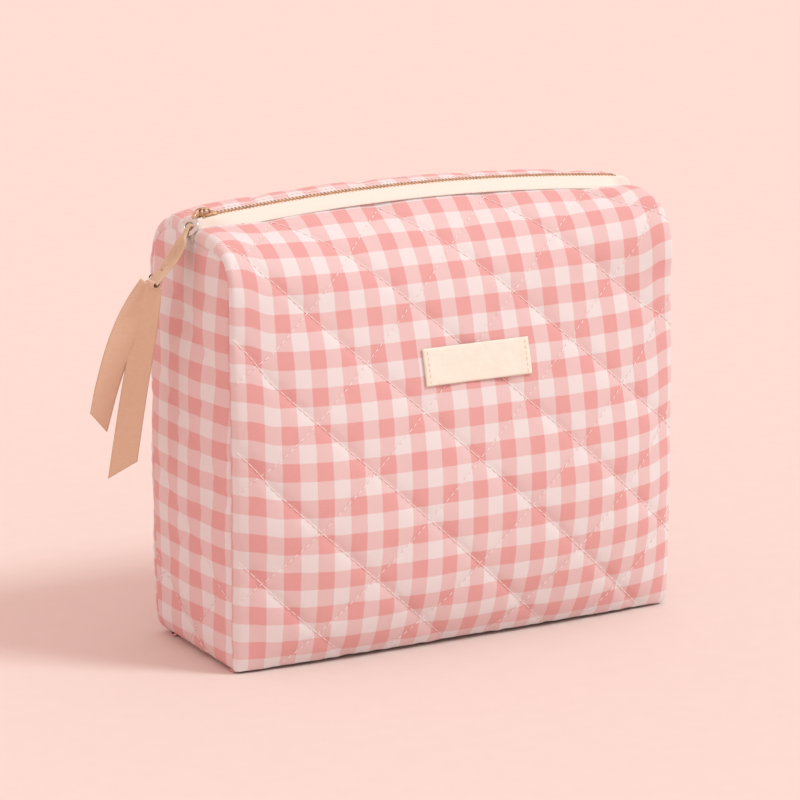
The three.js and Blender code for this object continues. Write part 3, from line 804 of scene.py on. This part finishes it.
def add_base():
    half = HALF_BASE_DEPTH - 5.2
    x, x_turn = rolled(HALF_WIDTH - 5.2, 2.0, 90, 2.2, 4)
    y, y_turn = rolled(half, 2.0, 90, 2.2, 4)
    px, py = np.meshgrid(x, y)
    lift = np.maximum(x_turn[None, :], y_turn[:, None])
    falling, rising = quilt_phases(px + 124, py + 100)
    edge = np.minimum(HALF_WIDTH - np.abs(px), half - np.abs(py))
    height = np.clip(puffed(falling, rising, px, py, 60), 0, 2.2) * edge_fade(edge, 4)
    under = 2.3 - height + lift
    outer = np.stack([px, py, np.maximum(under, 0.02)], axis=-1)
    inner = np.stack([px, py, np.full_like(px, 3.1) + lift * 0.3], axis=-1)
    obj = add_slab("base_quilt", outer, inner, GINGHAM, np.stack([px, py], axis=-1))
    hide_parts("base_panel", "base_wadding")
    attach(obj, "shell")


# ---- lining, binding --------------------------------------------------------------------------
def add_lining(name, node_names, outer, inward, body_side=None):
    inner = outer + inward * 0.6
    obj = add_slab(name, outer, inner, LINING)
    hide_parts(*node_names)
    if body_side is None:
        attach(obj, "shell")
    else:
        follow_flap(obj)


def add_linings():
    for side in (FRONT, BACK):
        wall = WALLS[side]
        rows = np.nonzero((wall["v"][:, 0] > 6) & (wall["v"][:, 0] < CLOTH_HEIGHT - 6))[0][::3]
        columns = np.nonzero(np.abs(wall["skin"][0, :, 0]) < HALF_WIDTH - 5.5)[0][::3]
        skin = wall["skin"][np.ix_(rows, columns)]
        out = wall["skin_normals"][np.ix_(rows, columns)]
        slack = 0.35 * ripple(skin[..., 0], skin[..., 2], 70 + side, 26)
        sheet = skin - out * (4.1 + slack)[..., None]
        name = SIDE_NAME[side]
        add_lining(f"{name}_cotton_lining", [f"{name}_lining", f"{name}_top_lining"], sheet, -out,
                   side)
    for side, name in ((-1, "left_side"), (1, "right_side")):
        y, z = (part[::3] for part in side_grid(side, 22, 5, 3.0))
        top = z.max()
        swell = SIDE_BELLY * np.sin(math.pi * z / top) * (1 - (y / 42) ** 2)
        x = HALF_WIDTH - 4.3 + swell + 0.3 * ripple(y, z, 80 + side, 22) - 1.2 * (y / 42) ** 2
        sheet = np.stack([side * x, y, z], axis=-1)
        inward = np.broadcast_to([-side * 1.0, 0, 0], sheet.shape)
        add_lining(f"{name}_cotton_lining", [f"{name}_lining"], sheet, inward)
    px, py = np.meshgrid(np.linspace(-108.5, 108.5, 60), np.linspace(-34, 34, 24))
    sheet = np.stack([px, py, 3.7 + 0.25 * (1 + ripple(px, py, 90, 24))], axis=-1)
    add_lining("base_cotton_lining", ["base_lining"], sheet, np.broadcast_to([0, 0, 1.0], sheet.shape),
               None)


def add_binding(name, node, route, towards, wide=3.0, thick=1.9):
    """A folded tape over a raw seam: a soft bead with a stitch line's dimples along it."""
    route = respaced(np.array(route, float), max(8, int(lengths_along(np.array(route, float))[-1] / 2.2)))
    run = unit(np.gradient(route, axis=0))
    out = unit(np.array(towards, float) - (run * np.array(towards, float)).sum(1, keepdims=True) * run)
    across = unit(np.cross(run, out))
    swell = 1 + 0.05 * np.sin(np.arange(len(route)) * 2.1)
    rings = along_route(route, across, out, wide / 2 * swell, thick / 2 * swell, 14, (0.6, 0.8))
    obj = add_mesh(name, *tube_data(rings), BINDING)
    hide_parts(node)
    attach(obj, "shell")


def add_bindings():
    for corner in ("front_left", "front_right", "back_left", "back_right"):
        low, high = box_mm(f"{corner}_seam_binding")
        x, y = (low + high)[:2] / 2
        add_binding(f"{corner}_seam_tape", f"{corner}_seam_binding",
                    [(x, y, low[2]), (x, y, 80), (x, y, high[2])], (-x, -y * 3, 0))
    low, high = box_mm("base_seam_binding")
    x, y, z = high[0] - 1.5, high[1] - 1.5, (low[2] + high[2]) / 2
    turn = [(x - 3 + 3 * math.cos(a), y - 3 + 3 * math.sin(a)) for a in np.radians(np.linspace(0, 90, 5))]
    loop = turn + [(-a, b) for a, b in turn[::-1]] + [(-a, -b) for a, b in turn] + [(a, -b) for a, b in turn[::-1]]
    loop = [(a, b, z) for a, b in loop + loop[:1]]
    add_binding("base_seam_tape", "base_seam_binding", loop, (0, 0, 1), 2.6, 2.0)


# ---- zip ------------------------------------------------------------------------------------
def arch_point(along, across, height):
    turn = along / ZIP_RADIUS
    r = ZIP_RADIUS + height
    return np.stack(np.broadcast_arrays(r * np.sin(turn), across, ZIP_CENTRE + r * np.cos(turn)), axis=-1)


TAPE_TURN = 5.9                  # radius of the tape's turn over the bag's ends


def tape_surface(side):
    """The tape from its bead by the teeth, down under the cloth's edge, and over the bag's ends."""
    core = np.linspace(-CHAIN_END, CHAIN_END, 190)
    bend = np.linspace(0, 1, 12)[1:]
    s = np.concatenate([-CHAIN_END - 9 * bend[::-1], core, CHAIN_END + 9 * bend])
    turn = np.radians(108) * np.clip((np.abs(s) - CHAIN_END) / 9, 0, 1)
    inner = np.array([0.7, 1.3, 1.8, 2.4, 3.0, 3.6])
    share = np.array([0.2, 0.4, 0.6, 0.8, 1.0, 1.25, 1.6])
    bead = np.array([-0.1, 0.3, 0.55, 0.62, 0.5, 0.12])
    edge_y = zip_edge(s)[:, None]
    outer = 3.6 + (edge_y - 3.6) * share
    across = np.concatenate([np.broadcast_to(inner, (len(s), len(inner))), outer], axis=1)
    chain = arch_point(np.clip(s, -CHAIN_END, CHAIN_END), 0, 0)[:, 2][:, None]
    edge = edge_height(side, np.clip(s, -CHAIN_END, CHAIN_END))[:, None] - 0.25
    level = chain + bead
    sloped = lerp(chain + 0.12, edge, np.minimum(share, 1)) - 1.2 * np.maximum(share - 1, 0)
    sloped = sloped + 0.3 * np.sin(math.pi * np.minimum(share, 1))
    height = np.concatenate([level, sloped], axis=1)
    x = np.clip(s, -CHAIN_END, CHAIN_END)[:, None] + np.sign(s)[:, None] * TAPE_TURN * np.sin(turn)[:, None]
    z = height - TAPE_TURN * (1 - np.cos(turn))[:, None]
    closed = 1 - 0.85 * smoothstep((np.abs(s) - CHAIN_END - 1) / 4)[:, None] * (across < 3)
    grid = np.stack([np.broadcast_to(x, z.shape), side * across * closed, z], axis=-1)
    return grid, s, across


def add_tape(side):
    name = SIDE_NAME[side]
    grid, s, across = tape_surface(side)
    normals = grid_normals(grid, np.broadcast_to([0, 0, 1.0], grid.shape))
    cloth = np.stack(np.broadcast_arrays(s[:, None], across), axis=-1)
    obj = add_slab(f"{name}_tape", grid, grid - normals * 0.45, TAPE, cloth)
    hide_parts(*[f"{name}_zip_tape{end}" for end in ("", "_left_end", "_right_end")])
    follow_flap(obj)


TOOTH_SECTIONS = [            # (across, half width, half height), from the cord to the tip
    (3.2, 0.25, 0.4), (3.05, 0.42, 0.75), (2.7, 0.47, 0.92), (1.7, 0.47, 0.94), (1.3, 0.42, 0.85),
    (0.6, 0.36, 0.8), (-0.35, 0.36, 0.76), (-0.7, 0.32, 0.62), (-0.85, 0.18, 0.4)]


def add_teeth(side):
    """Metal teeth clamped on the cord; the two rows are half a pitch apart and mesh."""
    name = SIDE_NAME[side]
    phase = 0 if side == FRONT else TOOTH_PITCH / 2
    places = np.arange(-CHAIN_END + 1.9 + phase, CHAIN_END - 0.6, TOOTH_PITCH)
    angles = np.radians([22, 68, 112, 158, 202, 248, 292, 338])
    cos, sin = np.cos(angles) / math.cos(math.radians(22)), np.sin(angles) / math.sin(math.radians(68))
    rings = np.zeros((len(places), len(TOOTH_SECTIONS), 8, 3))
    for k, (across, wide, high) in enumerate(TOOTH_SECTIONS):
        along = places[:, None] + cos[None, :] * wide
        rings[:, k] = arch_point(along, side * across, 0.05 + sin[None, :] * high)
    obj = add_mesh(f"{name}_teeth", *tube_data(rings), BRASS)
    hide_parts(*[f"{name}_zip_teeth{end}" for end in ("", "_left_end", "_right_end")])
    follow_flap(obj)


def add_zip_stitching(side):
    """Topstitching along the quilted edge beside the tape."""
    wall = WALLS[side]
    row = np.argmin(np.abs(wall["v"][:, 0] - (CLOTH_HEIGHT - 2.2)))
    inside = np.nonzero(np.abs(wall["skin"][0, :, 0]) < 107)[0]
    route, normals = wall["points"][row, inside], wall["normals"][row, inside]
    add_stitches(f"{SIDE_NAME[side]}_topstitching", [(route, normals, 2.2, 0.7)],
                 lambda thread: follow_flap(thread), radius=0.14)


def prism(outline, low, high):
    """Points and faces of an outline in (along, across) between two heights."""
    outline = np.array(outline, float)
    n = len(outline)
    points = np.concatenate([np.column_stack([outline, np.full(n, level)]) for level in (low, high)])
    around = [[k, (k + 1) % n, (k + 1) % n + n, k + n] for k in range(n)]
    area = np.sum(outline[:, 0] * np.roll(outline[:, 1], -1) - np.roll(outline[:, 0], -1) * outline[:, 1])
    faces = around + [list(range(n))[::-1], [k + n for k in range(n)]]
    return points, faces if area > 0 else [face[::-1] for face in faces]


def add_stops():
    for side in (FRONT, BACK):
        name = SIDE_NAME[side]
        points, faces = prism([(-CHAIN_END, side * 0.7), (-CHAIN_END + 1.4, side * 0.7),
                               (-CHAIN_END + 1.4, side * 3.6), (-CHAIN_END, side * 3.6)], -1.05, 1.05)
        obj = add_mesh(f"{name}_top_stop", arch_point(points[:, 0], points[:, 1], points[:, 2]), faces, BRASS)
        bevelled(obj, 0.35)
        applied(obj)
        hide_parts(f"{name}_zip_top_stop")
        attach(obj, "shell")


# ---- slider and pull ---------------------------------------------------------------------------
SLIDER_NOSE, SLIDER_LENGTH = -109.5, 8.0


def slider_outline(grow=0.0):
    nose, tail = SLIDER_NOSE - grow, SLIDER_NOSE + SLIDER_LENGTH + grow
    right = [(nose, 0.9), (nose + 0.25, 2.0), (nose + 0.9, 2.9), (nose + 2.0, 3.4), (nose + 3.4, 3.45),
             (nose + 5.4, 3.3), (tail - 0.8, 3.1), (tail - 0.15, 2.9), (tail, 2.4)]
    right = [(a, b + grow) for a, b in right]
    return right + [(a, -b) for a, b in right[::-1]]


def add_slider():
    datas = [prism(slider_outline(), 1.1, 1.75), prism(slider_outline(), -1.85, -1.2)]
    nose, tail = SLIDER_NOSE, SLIDER_NOSE + SLIDER_LENGTH
    for side in (-1, 1):
        flange = [(nose + 2.0, side * 3.4), (nose + 3.4, side * 3.45), (tail - 0.4, side * 3.15),
                  (tail - 0.4, side * 2.85), (nose + 3.4, side * 3.1), (nose + 2.0, side * 3.05)]
        datas += [prism(flange, 0.75, 1.4), prism(flange, -1.4, -0.75)]
    points, faces = merged(*datas)
    body = add_mesh("slider_body", arch_point(points[:, 0], points[:, 1], points[:, 2]), faces, BRASS)
    bevelled(body, 0.3)
    applied(body)
    route = np.array([(nose + 0.7, 1.5), (nose + 0.7, 2.8), (nose + 1.2, 3.6), (nose + 2.2, 3.9),
                      (nose + 3.8, 3.7), (nose + 5.0, 3.1), (nose + 5.5, 2.3), (nose + 5.6, 1.5)])
    route = spline(route, np.linspace(0, 1, 28))
    run = unit(np.gradient(route, axis=0))
    up = np.stack([-run[:, 1], run[:, 0]], axis=1)
    angles = np.arange(10) * math.pi / 5
    rings = np.zeros((1, len(route), 10, 3))
    for k, angle in enumerate(angles):
        offset = 0.42 * math.sin(angle)
        rings[0, :, k] = arch_point(route[:, 0] + up[:, 0] * offset, 0.95 * math.cos(angle) + 0 * route[:, 0],
                                    route[:, 1] + up[:, 1] * offset)
    bridge = add_mesh("slider_bridge", *tube_data(rings), BRASS)
    for obj in (body, bridge):
        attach(obj, "slider")
    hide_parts("zip_slider")


RING_CENTRE = np.array([-115.4, -2.8, 195.9])
RING_FACES = np.array([-0.72, -0.48, 0.50])
RING_OUTER, RING_HOLE = 4.4, 2.1


def hang(obj, joint_body):
    """A hanging piece rides on its body and has a mesh of its own."""
    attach(obj, joint_body)
    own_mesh(obj)


def add_puller():
    """A polished eyelet on a short neck that hangs from the slider's bridge."""
    face = RING_FACES / np.linalg.norm(RING_FACES)
    down = unit(np.array([0, 0, -1.0]) + face * face[2])
    across = np.cross(face, down)
    angles = np.linspace(0, 2 * math.pi, 49)[:-1]
    section = [(RING_HOLE, -0.5), (RING_HOLE - 0.12, 0.0), (RING_HOLE + 0.05, 0.5), (RING_HOLE + 0.45, 0.72),
               (RING_HOLE + 0.9, 0.55), (RING_OUTER - 0.7, 0.42), (RING_OUTER - 0.25, 0.5), (RING_OUTER, 0.2),
               (RING_OUTER, -0.25), (RING_OUTER - 0.3, -0.5)]
    rings = np.zeros((len(angles), len(section), 3))
    for k, (radius, height) in enumerate(section):
        around = np.cos(angles)[:, None] * down + np.sin(angles)[:, None] * across
        rings[:, k] = RING_CENTRE + radius * around + height * face
    index = np.arange(rings.shape[0] * rings.shape[1]).reshape(rings.shape[:2])
    nxt, beside = np.roll(index, -1, axis=0), np.roll(index, -1, axis=1)
    quads = np.stack([index, nxt, np.roll(nxt, -1, axis=1), beside], axis=-1).reshape(-1, 4)
    points = rings.reshape(-1, 3)
    eyelet = add_mesh("puller_eyelet", points, outward(points, quads).tolist(), STEEL)
    top = RING_CENTRE - down * (RING_OUTER - 0.6)
    route = np.array([PIVOT + [1.0, 0, -0.6], PIVOT + [0.9, 0, 0.5], PIVOT + [-0.6, 0, 0.9], PIVOT + [-2.6, 0, 0.2],
                      top + [1.0, 0.1, 1.0], top])
    route = spline(route, np.linspace(0, 1, 24))
    run = unit(np.gradient(route, axis=0))
    wide = unit(np.cross(run, np.cross(np.array([0, 1.0, 0]), run)))
    thick = np.cross(run, wide)
    share = np.linspace(0, 1, 24)
    half = 0.95 + 0.5 * smoothstep((share - 0.5) / 0.5)
    neck_rings = along_route(route, wide, thick, half, 0.42, 10)
    neck = add_mesh("puller_neck", *tube_data(neck_rings), BRASS)
    for obj in (eyelet, neck):
        hang(obj, "puller")
    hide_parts("zip_puller")


TAB_TOP = np.array([-116.6, -3.4, 195.2])
TAB_FOOT = np.array([-134.0, -3.0, 172.2])
TAB_WIDTHS = [(0, 1.4), (3.2, 1.6), (4.6, 3.0), (6.2, 4.9), (9, 5.7), (12, 6.1), (16, 6.1), (20, 5.3), (23, 5.0),
              (26, 5.3), (29, 5.4)]


def tab_frame():
    run = unit(TAB_FOOT - TAB_TOP)
    across = np.array([0.10, 1.0, 0.0])
    across = unit(across - run * across.dot(run))
    face = np.cross(across, run)
    return run, across, face if face[0] < 0 else -face


def add_tab():
    """A folded leather tab with an embossed oval and a slot at its foot."""
    run, across, face = tab_frame()
    length = np.linalg.norm(TAB_FOOT - TAB_TOP)
    rows, columns = 76, 33
    l = np.linspace(0, length, rows)
    half = np.interp(l, *np.array(TAB_WIDTHS).T)
    half = np.convolve(np.pad(half, 2, "edge"), np.ones(5) / 5, "valid")
    c = np.linspace(-1, 1, columns)
    ll, yy = np.repeat(l[:, None], columns, 1), half[:, None] * c[None, :]
    oval = np.hypot((ll - 13.6) / 5.0, yy / 3.1)
    embossed = 0.32 * np.exp(-((oval - 1) / 0.13) ** 2) - 0.22 * smoothstep((1 - oval) / 0.25)
    slot = np.hypot(np.maximum(np.abs(yy) - 0.9, 0), ll - 21.6)
    pressed = 0.9 * (1 - smoothstep((slot - 0.15) / 0.55))
    rounded = 0.35 * np.maximum(np.abs(c)[None, :] - 0.82, 0) / 0.18
    bow = -1.6 * np.sin(math.pi * ll / length) + 0.5 * np.cos(c * 1.4)[None, :]
    lift = 0.62 + embossed - pressed - rounded + bow
    flat = TAB_TOP + run * ll[..., None] + across * yy[..., None]
    outer = flat + face * lift[..., None]
    inner = flat + face * (lift * 0 + bow - 0.62 + rounded)[..., None]
    tab = add_slab("leather_tab", outer, inner, LEATHER)
    fold_route = np.array([TAB_TOP + face * 0.3 + run * 1.2, TAB_TOP - run * 1.4 + face * 0.1,
                           TAB_TOP - run * 2.3 - face * 1.0, TAB_TOP - run * 1.2 - face * 1.9,
                           TAB_TOP + run * 1.4 - face * 1.3])
    route = spline(fold_route, np.linspace(0, 1, 18))
    tangent = unit(np.gradient(route, axis=0))
    thick = np.cross(tangent, across)
    rings = along_route(route, across, thick, 1.5, 0.5, 12, (0.6, 0.6))
    loop = add_mesh("leather_loop", *tube_data(rings), LEATHER)
    at = TAB_TOP + run * 26.2 + across * 4.9 + face * 0.6
    dark = stitch_rings(np.array([at - run * 1.3, at, at + run * 1.3]), np.array([face] * 3), 2.2, 0.2, 0.32)
    stitch = add_mesh("tab_stitch", *tube_data(dark), DARK_THREAD)
    for obj in (tab, loop, stitch):
        hang(obj, "tab")
    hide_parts("pull_tab")


def ribbon_strip(name, points, across_from, across_to, slant, curl, width=11.9):
    """One tail of the ribbon: pinched at the knot, opening out, and cut at a slant."""
    rows, columns = 90, 17
    share = np.linspace(0, 1, rows)
    route = respaced(spline(points, np.linspace(0, 1, 200)), rows)
    run = unit(np.gradient(route, axis=0))
    across = unit(lerp(np.array(across_from, float), np.array(across_to, float), share[:, None]))
    across = unit(across - run * (across * run).sum(1, keepdims=True))
    face = np.cross(across, run)
    c = np.linspace(-1, 1, columns)
    pinch = lerp(0.8, 1.0, smoothstep(share / 0.3))
    half = width / 2 * pinch
    along = slant * c[None, :] / 2 * smoothstep((share - 0.72) / 0.28)[:, None]
    gather = (1 - smoothstep(share / 0.25))[:, None] * 0.35 * np.cos(c * 6)[None, :]
    bowed = curl * (np.cos(c * 1.3)[None, :] - 0.6) * np.sin(math.pi * np.clip(share * 1.05, 0, 1))[:, None]
    middle = (route[:, None] + across[:, None] * (half[:, None] * c[None, :])[..., None]
              + run[:, None] * along[..., None] + face[:, None] * (gather + bowed)[..., None])
    normals = grid_normals(middle, np.broadcast_to(face[:, None], middle.shape))
    total = lengths_along(route)[-1]
    cloth = np.stack(np.broadcast_arrays(c[None, :] * width / 2, share[:, None] * total + along), axis=-1)
    obj = add_slab(name, middle + normals * 0.22, middle - normals * 0.22, RIBBON, cloth)
    return obj


def add_ribbon():
    start = TAB_FOOT + np.array([-0.5, -0.9, -0.3])
    front = ribbon_strip("ribbon_front", [start, (-135.2, -2.4, 163), (-137.4, 0.5, 146), (-141, 4.5, 118),
                                          (-144.6, 8.4, 87)], (0.55, -0.8, 0.1), (0.80, -0.6, 0), -10.5, 1.0)
    back = ribbon_strip("ribbon_back", [start + [-0.4, 1.5, 0.2], (-138.4, 1.6, 163.5), (-146.1, 5, 145),
                                        (-150.9, 9, 126), (-154.2, 12, 109)],
                        (0.7, -0.5, 0.1), (0.97, 0.2, 0), 9, -0.8)
    hang(front, "ribbon")
    hang(back, "ribbon")
    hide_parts("ribbon_front_tail")
    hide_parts("ribbon_back_tail")
    run, across, face = tab_frame()
    middle = TAB_FOOT - run * 0.6
    wrap = np.array([middle + face * up + run * on for up, on in [
        (1.0, -0.2), (1.35, 0.5), (1.1, 1.6), (-0.1, 2.2), (-1.3, 1.6), (-1.5, 0.2), (-1.0, -1.2)]])
    route = spline(wrap, np.linspace(0, 1, 34))
    tangent = unit(np.gradient(route, axis=0))
    thick = np.cross(tangent, across)
    corner = np.arange(16) * math.pi / 8
    rings = np.zeros((1, 34, 16, 3))
    for k, angle in enumerate(corner):
        crease = 0.1 * math.cos(5 * angle)
        rings[0, :, k] = route + across * (5.0 * math.cos(angle)) + thick * ((0.4 + crease) * math.sin(angle))
    points, faces = tube_data(rings)
    cloth = np.stack([np.tile(np.cos(corner) * 5.0, 34), np.repeat(lengths_along(route), 16)], axis=-1)
    knot = add_mesh("ribbon_loop", points, faces, RIBBON, cloth)
    hang(knot, "ribbon")
    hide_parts("ribbon_knot")


# ---- label --------------------------------------------------------------------------------------
def add_label():
    """A woven label with its ends folded under and stitched down."""
    x_low, x_high, z_low, z_high = LABEL_LOW[0], LABEL_HIGH[0], LABEL_LOW[2], LABEL_HIGH[2]
    rows, columns = 26, 78
    x, z = np.meshgrid(np.linspace(x_low, x_high, columns), np.linspace(z_low, z_high, rows))
    y = -(side_depth_at(z) + fullness(x) * belly_at(z)) - 1.75
    edge = np.minimum(np.minimum(x - x_low, x_high - x), np.minimum(z - z_low, z_high - z))
    rounded = 0.3 * (1 - smoothstep(edge / 0.6))
    fold = 0.16 * (smoothstep((x_low + 4.6 - x) / 0.5) + smoothstep((x - x_high + 4.6) / 0.5))
    wave = 0.12 * ripple(x, z, 100, 14)
    outer = np.stack([x, y - 0.45 - fold - wave + rounded, z], axis=-1)
    inner = np.stack([x, y + 0.45 - rounded, z], axis=-1)
    label = add_slab("cloth_label", outer, inner, LABEL_CLOTH)
    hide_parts("front_label")
    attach(label, "shell")
    routes = []
    for column in (3, columns - 4):
        path = outer[1:-1, column]
        routes.append((path, np.tile([0, -1.0, 0], (len(path), 1)), 1.7, 0.7))
    add_stitches("label_stitching", routes, on_shell, TAN_THREAD, 0.1)


# ---- room -----------------------------------------------------------------------------------------
def add_floor():
    shader = Shader("floor_paint", Roughness=0.8, Specular_IOR_Level=0.2)
    place = shader.object_place()
    grain = shader.noise(place, 90, 3.0)
    color = shader.mix(shader.ramp(grain, 0.3, 0.7), rgb(0.775, 0.675, 0.635), rgb(0.765, 0.665, 0.625))
    material = shader.finish(color, grain, 0.02, 0.1)
    reach = 6000
    floor = add_mesh("floor", [(-reach, -reach, 0), (reach, -reach, 0), (reach, reach, 0), (-reach, reach, 0)],
                     [(0, 1, 2, 3)], material)


TARGET = Vector((0, 0, 100))     # what the camera and the key light are turned to
KEY_STRENGTH, KEY_COLOR = 1.5, (0.85, 1.0, 1.0)
KEY_ANGLE = 16.0                 # degrees: how broad the key light is
KEY_PLACE = (900, -900, 1500)
GLOW_COLOR, GLOW_STRENGTH = rgb(1.12, 0.81, 0.75), 0.90
BACKDROP_COLOR = rgb(0.985, 0.70, 0.655)


def add_lights():
    """A pink studio: a soft even glow from all round, and a broad key light from the right."""
    world = bpy.data.worlds.new("studio")
    world.use_nodes = True
    tree = world.node_tree
    glow = tree.nodes["Background"]
    glow.inputs["Color"].default_value = GLOW_COLOR
    glow.inputs["Strength"].default_value = GLOW_STRENGTH
    backdrop = tree.nodes.new("ShaderNodeBackground")
    backdrop.inputs["Color"].default_value = BACKDROP_COLOR
    seen, mixed = tree.nodes.new("ShaderNodeLightPath"), tree.nodes.new("ShaderNodeMixShader")
    tree.links.new(seen.outputs["Is Camera Ray"], mixed.inputs[0])
    tree.links.new(glow.outputs[0], mixed.inputs[1])
    tree.links.new(backdrop.outputs[0], mixed.inputs[2])
    tree.links.new(mixed.outputs[0], tree.nodes["World Output"].inputs["Surface"])
    bpy.context.scene.world = world
    bpy.context.scene.view_settings.view_transform = "Standard"
    data = bpy.data.lights.new("key", "SUN")
    data.energy, data.color, data.angle = KEY_STRENGTH, KEY_COLOR, math.radians(KEY_ANGLE)
    light = bpy.data.objects.new("key", data)
    light.location = Vector(KEY_PLACE) * MM
    light.rotation_euler = (TARGET - Vector(KEY_PLACE)).to_track_quat("-Z", "Y").to_euler()
    bpy.context.scene.collection.objects.link(light)


CAMERA_AZIMUTH, CAMERA_ELEVATION = math.radians(30), math.radians(13.206)
CAMERA_DISTANCE = 1738.78
SENSOR = 36.0
LENS = 170.205001128
LENS_SHIFT = (-0.01788375, 0.0101875)


def add_camera():
    data = bpy.data.cameras.new("camera")
    camera = bpy.data.objects.new("camera", data)
    back = Vector((-math.sin(CAMERA_AZIMUTH) * math.cos(CAMERA_ELEVATION),
                   -math.cos(CAMERA_AZIMUTH) * math.cos(CAMERA_ELEVATION), math.sin(CAMERA_ELEVATION)))
    camera.location = (TARGET + back * CAMERA_DISTANCE) * MM
    camera.rotation_euler = back.to_track_quat("Z", "Y").to_euler()
    data.sensor_width = SENSOR
    data.lens = LENS
    data.shift_x, data.shift_y = LENS_SHIFT
    data.clip_start, data.clip_end = 0.05, 30
    bpy.context.scene.collection.objects.link(camera)
    bpy.context.scene.camera = camera


add_camera()
add_lights()
add_floor()
add_wall(FRONT)
add_wall(BACK)
add_side(-1)
add_side(1)
add_base()
add_linings()
add_bindings()
for zip_side in (FRONT, BACK):
    add_tape(zip_side)
    add_teeth(zip_side)
    add_zip_stitching(zip_side)
add_stops()
add_slider()
add_puller()
add_tab()
add_ribbon()
add_label()
